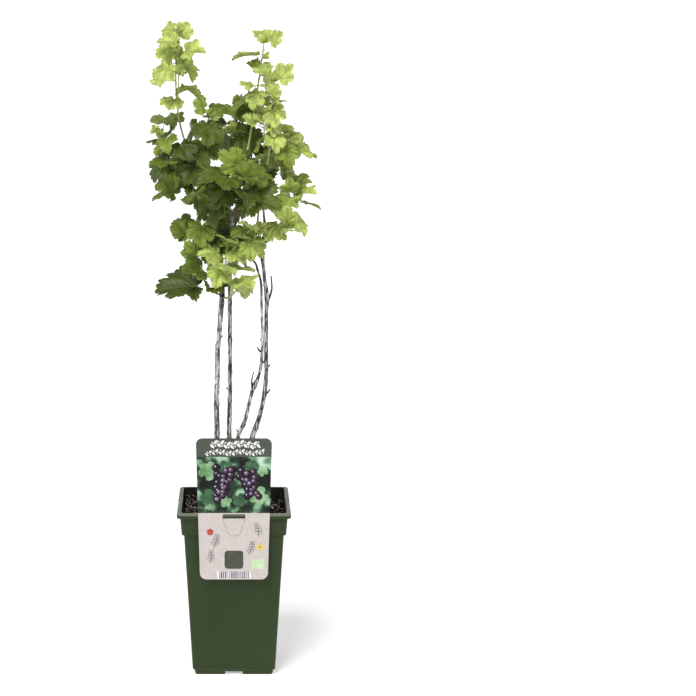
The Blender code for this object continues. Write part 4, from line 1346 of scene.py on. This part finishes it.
def leaf_edge(angle, teeth):
    """Distance from the middle of a unit leaf to its edge: lobes, broad scallops, and round teeth on them."""
    turn = abs(angle)
    radius = 0.515 + 0.055 * math.exp(-(turn / 0.50) ** 2) + 0.02 * math.exp(-((turn - 1.12) / 0.40) ** 2)
    radius -= 0.075 * math.exp(-((turn - 2.7) / 0.5) ** 2)
    for valley, depth, breadth in ((0.58, 0.150, 0.105), (1.68, 0.120, 0.115)):
        radius -= depth * math.exp(-((turn - valley) / breadth) ** 2)
    scallop = abs(math.cos(turn * SCALLOPS / 2)) ** 0.6 - 0.65
    tooth = abs(math.cos(turn * teeth / 2)) ** 0.6 - 0.65
    radius *= 1 + (0.060 * scallop + 0.085 * tooth) * min((math.pi - turn) * 2.0, 1.0)
    return radius + (LEAF_REACH - radius) * math.exp((turn - math.pi) / 0.2)


def vein_frame(x, y):
    """How far a point on the blade lies from its nearest main vein, and how far along it."""
    angle = math.atan2(abs(x), y)
    nearest = min(VEINS, key=lambda vein: abs(vein - angle))
    run = math.hypot(x, y)
    return run * abs(math.sin(angle - nearest)), run * math.cos(angle - nearest)


def leaf_template(rays, rings, teeth):
    """Unit points of one side of a leaf, and the faces between them."""
    points = [(0.0, 0.0)]
    faces = []
    last = None
    for ring_index, share in enumerate(rings):
        fine = ring_index == len(rings) - 1
        count = rays * 2 if fine else rays
        ring = []
        for k in range(count + 1):
            angle = -math.pi + math.tau * k / count
            if k in (0, count):
                ring.append(0)
                continue
            radius = leaf_edge(angle, teeth)
            x, y = radius * math.sin(angle), radius * math.cos(angle) + LEAF_REACH
            ring.append(len(points))
            points.append((x * share, y * share))
        if last is None:
            faces += [(0, ring[k], ring[k + 1]) for k in range(1, count - 1)]
        elif fine:
            for k in range(rays):
                a, b = last[k], last[k + 1]
                e, d, c = ring[2 * k], ring[2 * k + 1], ring[2 * k + 2]
                faces += [(a, e, d), (a, d, b), (b, d, c)]
        else:
            for k in range(rays):
                corners = (ring[k], ring[k + 1], last[k + 1], last[k])
                faces.append(tuple(dict.fromkeys(corners)))
        last = ring
    faces = [face for face in faces if len(set(face)) > 2]
    return points, faces, last[1:-1]


FINE_LEAF = leaf_template(72, (0.22, 0.44, 0.64, 0.82, 1.0), 36)
SMALL_LEAF = leaf_template(28, (0.5, 1.0), 14)


def add_leaf(store, place, width, fold, curl, wave, template):
    """Add the upper side, the underside and the edge of one leaf to a store of mesh data."""
    points, faces, edge = template
    verts, quads, sides, flats = store
    start = len(verts)
    for level in (0.5, -0.5):
        for x, y in points:
            off, run = vein_frame(x, y)
            reach = math.hypot(x, y - LEAF_REACH)
            height = fold * abs(x) - curl * y * y - curl * x * x
            height += (0.030 * (1 - math.exp(-(off / 0.05) ** 2)) + 0.16 * off) * min(run * 4, 1)
            height += 0.36 * wave[0] * reach * reach * math.sin(math.atan2(x, y) * 5 + wave[1])
            height += 0.36 * wave[2] * x * (y - LEAF_REACH)
            point = place @ Vector((x * width, y * width, height * width + level * LEAF_SHEET))
            verts.append(point)
            flats.append((0.5 + x / 1.3, 0.25 + y / 1.3))
    under = start + len(points)
    for face in faces:
        quads.append(tuple(start + k for k in reversed(face)))
        sides.append(0)
        quads.append(tuple(under + k for k in face))
        sides.append(1)
    rim = [0] + list(edge)
    for a, b in zip(rim, rim[1:] + rim[:1]):
        quads.append((start + a, start + b, under + b, under + a))
        sides.append(1)


print("faces of a leaf's upper side", len(FINE_LEAF[1]), "and of a young one's", len(SMALL_LEAF[1]))

# %% [markdown]
# ## Leaf colour
# Age sets a leaf's colour. Young leaves at the tips are a pale yellow green and old leaves inside are dark.
# Leaves towards the right are also dealt paler shades, which is painted light on that side of the crown.
# Each shade is a finish of its own, and leaves are dealt to shades one by one. Within a leaf only the veins
# and a soft mottle differ. The underside is paler and more matt.

# %% Leaf finishes
SHADES = ((0.465, 0.565, 0.135), (0.320, 0.410, 0.075), (0.210, 0.285, 0.037), (0.138, 0.195, 0.020),
          (0.090, 0.132, 0.013), (0.058, 0.090, 0.009))


def leaf_finish(name, tone, under=False):
    pale = tuple(0.85 * channel + more for channel, more in zip(tone, (0.140, 0.165, 0.075)))
    if under:
        tone = tuple(0.55 * c + 0.45 * o for c, o in zip(tone, (0.27, 0.33, 0.14)))
    made = Finish(name, Base_Color=(*tone, 1), Roughness=0.62 if under else 0.40,
                  Specular_IOR_Level=0.18 if under else 0.32)
    flat = made.node("ShaderNodeUVMap", {"uv_map": "leaf"})
    x = ((made.axis(flat, 0) - 0.5) * 1.3).math("ABSOLUTE")
    y = (made.axis(flat, 1) - 0.25) * 1.3
    angle = x.math("ARCTAN2", y)
    steps = [angle.math("GREATER_THAN", (low + high) / 2) * (high - low)
             for low, high in zip(VEINS, VEINS[1:])]
    turn = angle - (steps[0] + steps[1])
    reach = (x * x + y * y).math("SQRT")
    off = (reach * turn.math("SINE")).math("ABSOLUTE")
    run = reach * turn.math("COSINE")
    main = 1.0 - (off + run * 0.008).clamp(0.006, 0.020)
    rows = (((run - off * 0.9) * 9.0).math("FRACT") - 0.5).math("ABSOLUTE")
    side = (1.0 - rows.clamp(0.02, 0.10)) * (1.0 - off.clamp(0.16, 0.26))
    mottle = made.noise(made.place(), 120.0, 4.0, 0.6)
    cells = made.noise(made.place(), 900.0, 3.0, 0.6)
    deep = tuple(channel * 0.66 for channel in tone)
    light = tuple(min(channel * 1.28, 1.0) for channel in tone)
    colour = made.ramp(mottle * 0.7 + cells * 0.3, (0.38, (*deep, 1)), (0.60, (*light, 1)))
    colour = made.blend(main * 0.62 + side * 0.24, colour, (*pale, 1))
    made.link("Base Color", colour)
    sign = 1.0 if under else -1.0
    made.bump(main * sign * 1.4 + side * sign * 0.8 + cells * 0.5, 0.0007, 0.9)
    return made


tops = [leaf_finish(f"leaf_shade_{i + 1}", tone) for i, tone in enumerate(SHADES)]
unders = [leaf_finish(f"leaf_under_{i + 1}", tone, True) for i, tone in enumerate(SHADES)]

stalk_finish, _ = mottled("leaf_stalk", (1.0, 3.0), (0.35, (0.26, 0.32, 0.090, 1)),
                          (0.62, (0.46, 0.52, 0.20, 1)), (0.78, (0.36, 0.29, 0.15, 1)),
                          stretch=(70, 70, 70), Base_Color=(0.30, 0.36, 0.13, 1), Roughness=0.5)
print("shades of leaf", len(tops), "and of underside", len(unders))

# %% [markdown]
# ## Leaves, stalks and twigs
# Now the rule's leaves get their fine shape. Each stalk leaves its twig at the rule's angle, bends over to
# the blade, and runs on under it as the midrib. Tips carry a tuft of very young leaves, folded along the
# midrib as they are when they open. Small leaves also stand in a few leaf joints, wherever the same test
# finds room.

# %% Stalks and young leaves as functions
# Painted light: leaves right of the middle are dealt paler shades, fully so at this reach.
RIGHT_SIDE_PAINTED_LIGHT = 0.16
PAINTED_LIGHT_REACH = 60 * MM
MOST_TRIANGLES = 200000
leaf_dice = random.Random(11)
stores = [([], [], [], []) for _ in SHADES]
stalks = bmesh.new()
shoots = {"green_shoots": bmesh.new(), "woody_shoots": bmesh.new()}


def shade_of(age):
    return min(max(int(age * len(SHADES)), 0), len(SHADES) - 1)


def add_stalk(start, out, place, width, thick=0.60 * MM):
    base, midrib = place.translation, place.col[1].to_3d()
    length = (base - start).length
    points, radii = [], []
    for k in range(8):
        t = k / 7
        a, b = 2 * t ** 3 - 3 * t * t + 1, t ** 3 - 2 * t * t + t
        points.append(start * a + out * length * b + base * (1 - a)
                      + midrib * length * 0.7 * (t ** 3 - t * t))
        radii.append(thick * (1.35 - 1.5 * t + 1.15 * t * t))
    for y, share in ((0.12, 0.72), (0.28, 0.55), (0.44, 0.40), (0.60, 0.25)):
        points.append(place @ Vector((0, y * width, (-LEAF_CURL * y * y) * width - 0.2 * MM)))
        radii.append(thick * share)
    ring_tube(stalks, points, radii, 6)


def young_leaf(name, start, out, size, age):
    """A small folded leaf near a tip or a joint, kept only where there is room."""
    for attempt in range(10):
        length = size * leaf_dice.uniform(0.25, 0.5)
        base = start + out * length
        place = leaf_turn(base, out, math.radians(leaf_dice.uniform(-70, 10)),
                          math.radians(leaf_dice.uniform(-40, 40)), TIP_LIGHT)
        test = tree_of(lambda form: plain_blade(form, size, place, 0.6, 1.2 * MM))
        if crown.in_space(name, test[1]) and crown.is_clear(test, (name,)):
            crown.block(test, name + " leaves")
            wave = (leaf_dice.uniform(0.4, 1.2), leaf_dice.uniform(0, math.tau), leaf_dice.uniform(-1, 1))
            add_leaf(stores[shade_of(age)], place, size, leaf_dice.uniform(0.4, 0.9), 0.15, wave, SMALL_LEAF)
            add_stalk(start, out, place, size, 0.42 * MM)
            return True
        out = (out + radial(out, leaf_dice.uniform(0, math.tau)) * 0.5).normalized()
    return False


# %% Leaves and their stalks
for name, (_, leafed) in grown.items():
    age = MASSES[name][7]
    for start, out, place, width, fold, share in leafed:
        age_with_painted_light = age + leaf_dice.uniform(-0.20, 0.20) - 0.30 * max(share - 0.6, 0) / 0.4
        # Painted light on the crown's right side: paler shades towards +x.
        age_with_painted_light -= RIGHT_SIDE_PAINTED_LIGHT * min(max(place.translation.x / PAINTED_LIGHT_REACH, 0), 1)
        wave = (leaf_dice.uniform(0.3, 1.0), leaf_dice.uniform(0, math.tau), leaf_dice.uniform(-1, 1))
        add_leaf(stores[shade_of(age_with_painted_light)], place, width, fold, LEAF_CURL, wave, FINE_LEAF)
        add_stalk(start, out, place, width)

# %% Twigs and young leaves
small = 0
for name, (twigs, leafed) in grown.items():
    axis = crown.axes[name]
    last = len(axis) - 1
    radii = [AXIS_RADIUS + (TWIG_RADIUS - AXIS_RADIUS) * i / last for i in range(last + 1)]
    path, widths = smooth_path(*sunk_start(axis, radii, False), 1.6 * MM)
    joints = [leaf[5] * sum(lengths_along(axis)) for leaf in leafed]
    kind = "green_shoots" if MASSES[name][7] < 0.5 else "woody_shoots"
    relief_tube(shoots[kind], path, widths, 9, 0.05 * MM, joints)
    for twig in twigs:
        path, widths = smooth_path(twig, [TWIG_RADIUS, TWIG_RADIUS * 0.92, TWIG_RADIUS * 0.8], 1.6 * MM)
        relief_tube(shoots[kind], path, widths, 8, 0.04 * MM)
    for path in [axis] + twigs:
        tip, direction = along_path(path, 1.0)
        for k in range(3):
            out = (direction + radial(direction, k * GOLDEN_ANGLE) * 0.35).normalized()
            small += young_leaf(name, tip, out, leaf_dice.uniform(9, 15) * MM, 0.02 + 0.1 * k)
        for k in range(3):
            start, direction = along_path(path, leaf_dice.uniform(0.45, 0.95))
            out = (direction * 0.5 + radial(direction, leaf_dice.uniform(0, math.tau))).normalized()
            small += young_leaf(name, start, out, leaf_dice.uniform(13, 22) * MM,
                                MASSES[name][7] * 0.6 + leaf_dice.uniform(0, 0.2))
print("young leaves", small)

# %% Leaf meshes
for index, (verts, faces, sides, flats) in enumerate(stores):
    mesh = bpy.data.meshes.new(f"leaves_{index + 1}")
    mesh.from_pydata(verts, [], faces)
    made = mesh_object(mesh.name, mesh, tops[index], unders[index])
    mesh.polygons.foreach_set("material_index", sides)
    mesh.polygons.foreach_set("use_smooth", [True] * len(mesh.polygons))
    layer = mesh.uv_layers.new(name="leaf")
    layer.data.foreach_set("uv", [value for loop in mesh.loops for value in flats[loop.vertex_index]])
    mesh.update()
    finish_piece(made, "foliage")
    triangles = sum(len(face.vertices) - 2 for face in mesh.polygons)
    print(made.name, "triangles", triangles)
    assert triangles < MOST_TRIANGLES

for label, finish in (("green_shoots", green_bark), ("woody_shoots", woody_bark)):
    is_green = label == "green_shoots"
    dressed = [name for name, row in MASSES.items() if (row[7] < 0.5) == is_green]
    gathered_piece(label, shoots[label], finish, "foliage", *dressed)
gathered_piece("leaf_stalks", stalks, stalk_finish, "foliage")

# %% [markdown]
# ## Studio
# The plant stands on a plain pale floor in soft light from all round, as in a studio tent. The floor
# turns up on all four sides, thirty metres away, so that it fills the picture from any side. There are
# two broad lamps: a strong one above and in front, which gives the leaves their shine, and a weak one at
# the side. The camera stands a little over two metres away and looks slightly down. Its picture is
# shifted sideways, because the plant stands left of the middle.

# %% Floor
SWEEP_SIZE, SWEEP_RISE, SWEEP_BEND = 60, 7, 4.0

deselect()
bpy.ops.mesh.primitive_plane_add(size=SWEEP_SIZE)
studio = bpy.context.object
studio.name = "studio_sweep"
form = bmesh.new()
form.from_mesh(studio.data)
rim_edges = form.edges[:]
risen = bmesh.ops.extrude_edge_only(form, edges=rim_edges)["geom"]
bmesh.ops.translate(form, vec=(0, 0, SWEEP_RISE), verts=verts_in(risen))
bmesh.ops.bevel(form, geom=rim_edges, offset=SWEEP_BEND, segments=16, profile=0.5, affect="EDGES")
bmesh.ops.recalc_face_normals(form, faces=form.faces)
form.to_mesh(studio.data)
form.free()
bpy.ops.object.shade_smooth()
sweep_finish = Finish("studio_sweep", Base_Color=(0.9, 0.9, 0.9, 1), Roughness=0.95,
                      Specular_IOR_Level=0.0, Emission_Color=(1, 1, 1, 1), Emission_Strength=0.42)
studio.data.materials.append(sweep_finish.made)
print("floor faces", len(studio.data.polygons))

# %% Lamps, air and camera
AIR_LIGHT = 0.22
CAMERA_PLACE = (0, -2.222, 0.786)
CAMERA_TILT = math.radians(80.29)
CAMERA_LENS = 94.09
CAMERA_SHIFT = 0.1639


def sun(name, azimuth, height, strength, softness):
    """A broad soft lamp that shines from an azimuth and a height, both in degrees."""
    deselect()
    bpy.ops.object.light_add(type="SUN", location=(0, 0, 3))
    made = bpy.context.object
    made.name = name
    made.data.energy = strength
    made.data.angle = math.radians(softness)
    made.rotation_euler = (math.radians(90 - height), 0, math.radians(azimuth))
    return made


key = sun("key_light", -24, 50, 2.45, 26)
fill = sun("side_light", 48, 30, 0.6, 50)

world = bpy.data.worlds.new("studio_light")
bpy.context.scene.world = world
world.use_nodes = True
air = world.node_tree.nodes["Background"].inputs
air["Color"].default_value = (1, 1, 1, 1)
air["Strength"].default_value = AIR_LIGHT

deselect()
bpy.ops.object.camera_add(location=CAMERA_PLACE, rotation=(CAMERA_TILT, 0, 0))
camera = bpy.context.object
camera.data.lens = CAMERA_LENS
camera.data.sensor_width = 36
camera.data.shift_x = CAMERA_SHIFT
bpy.context.scene.camera = camera
bpy.context.scene.view_settings.view_transform = "Standard"
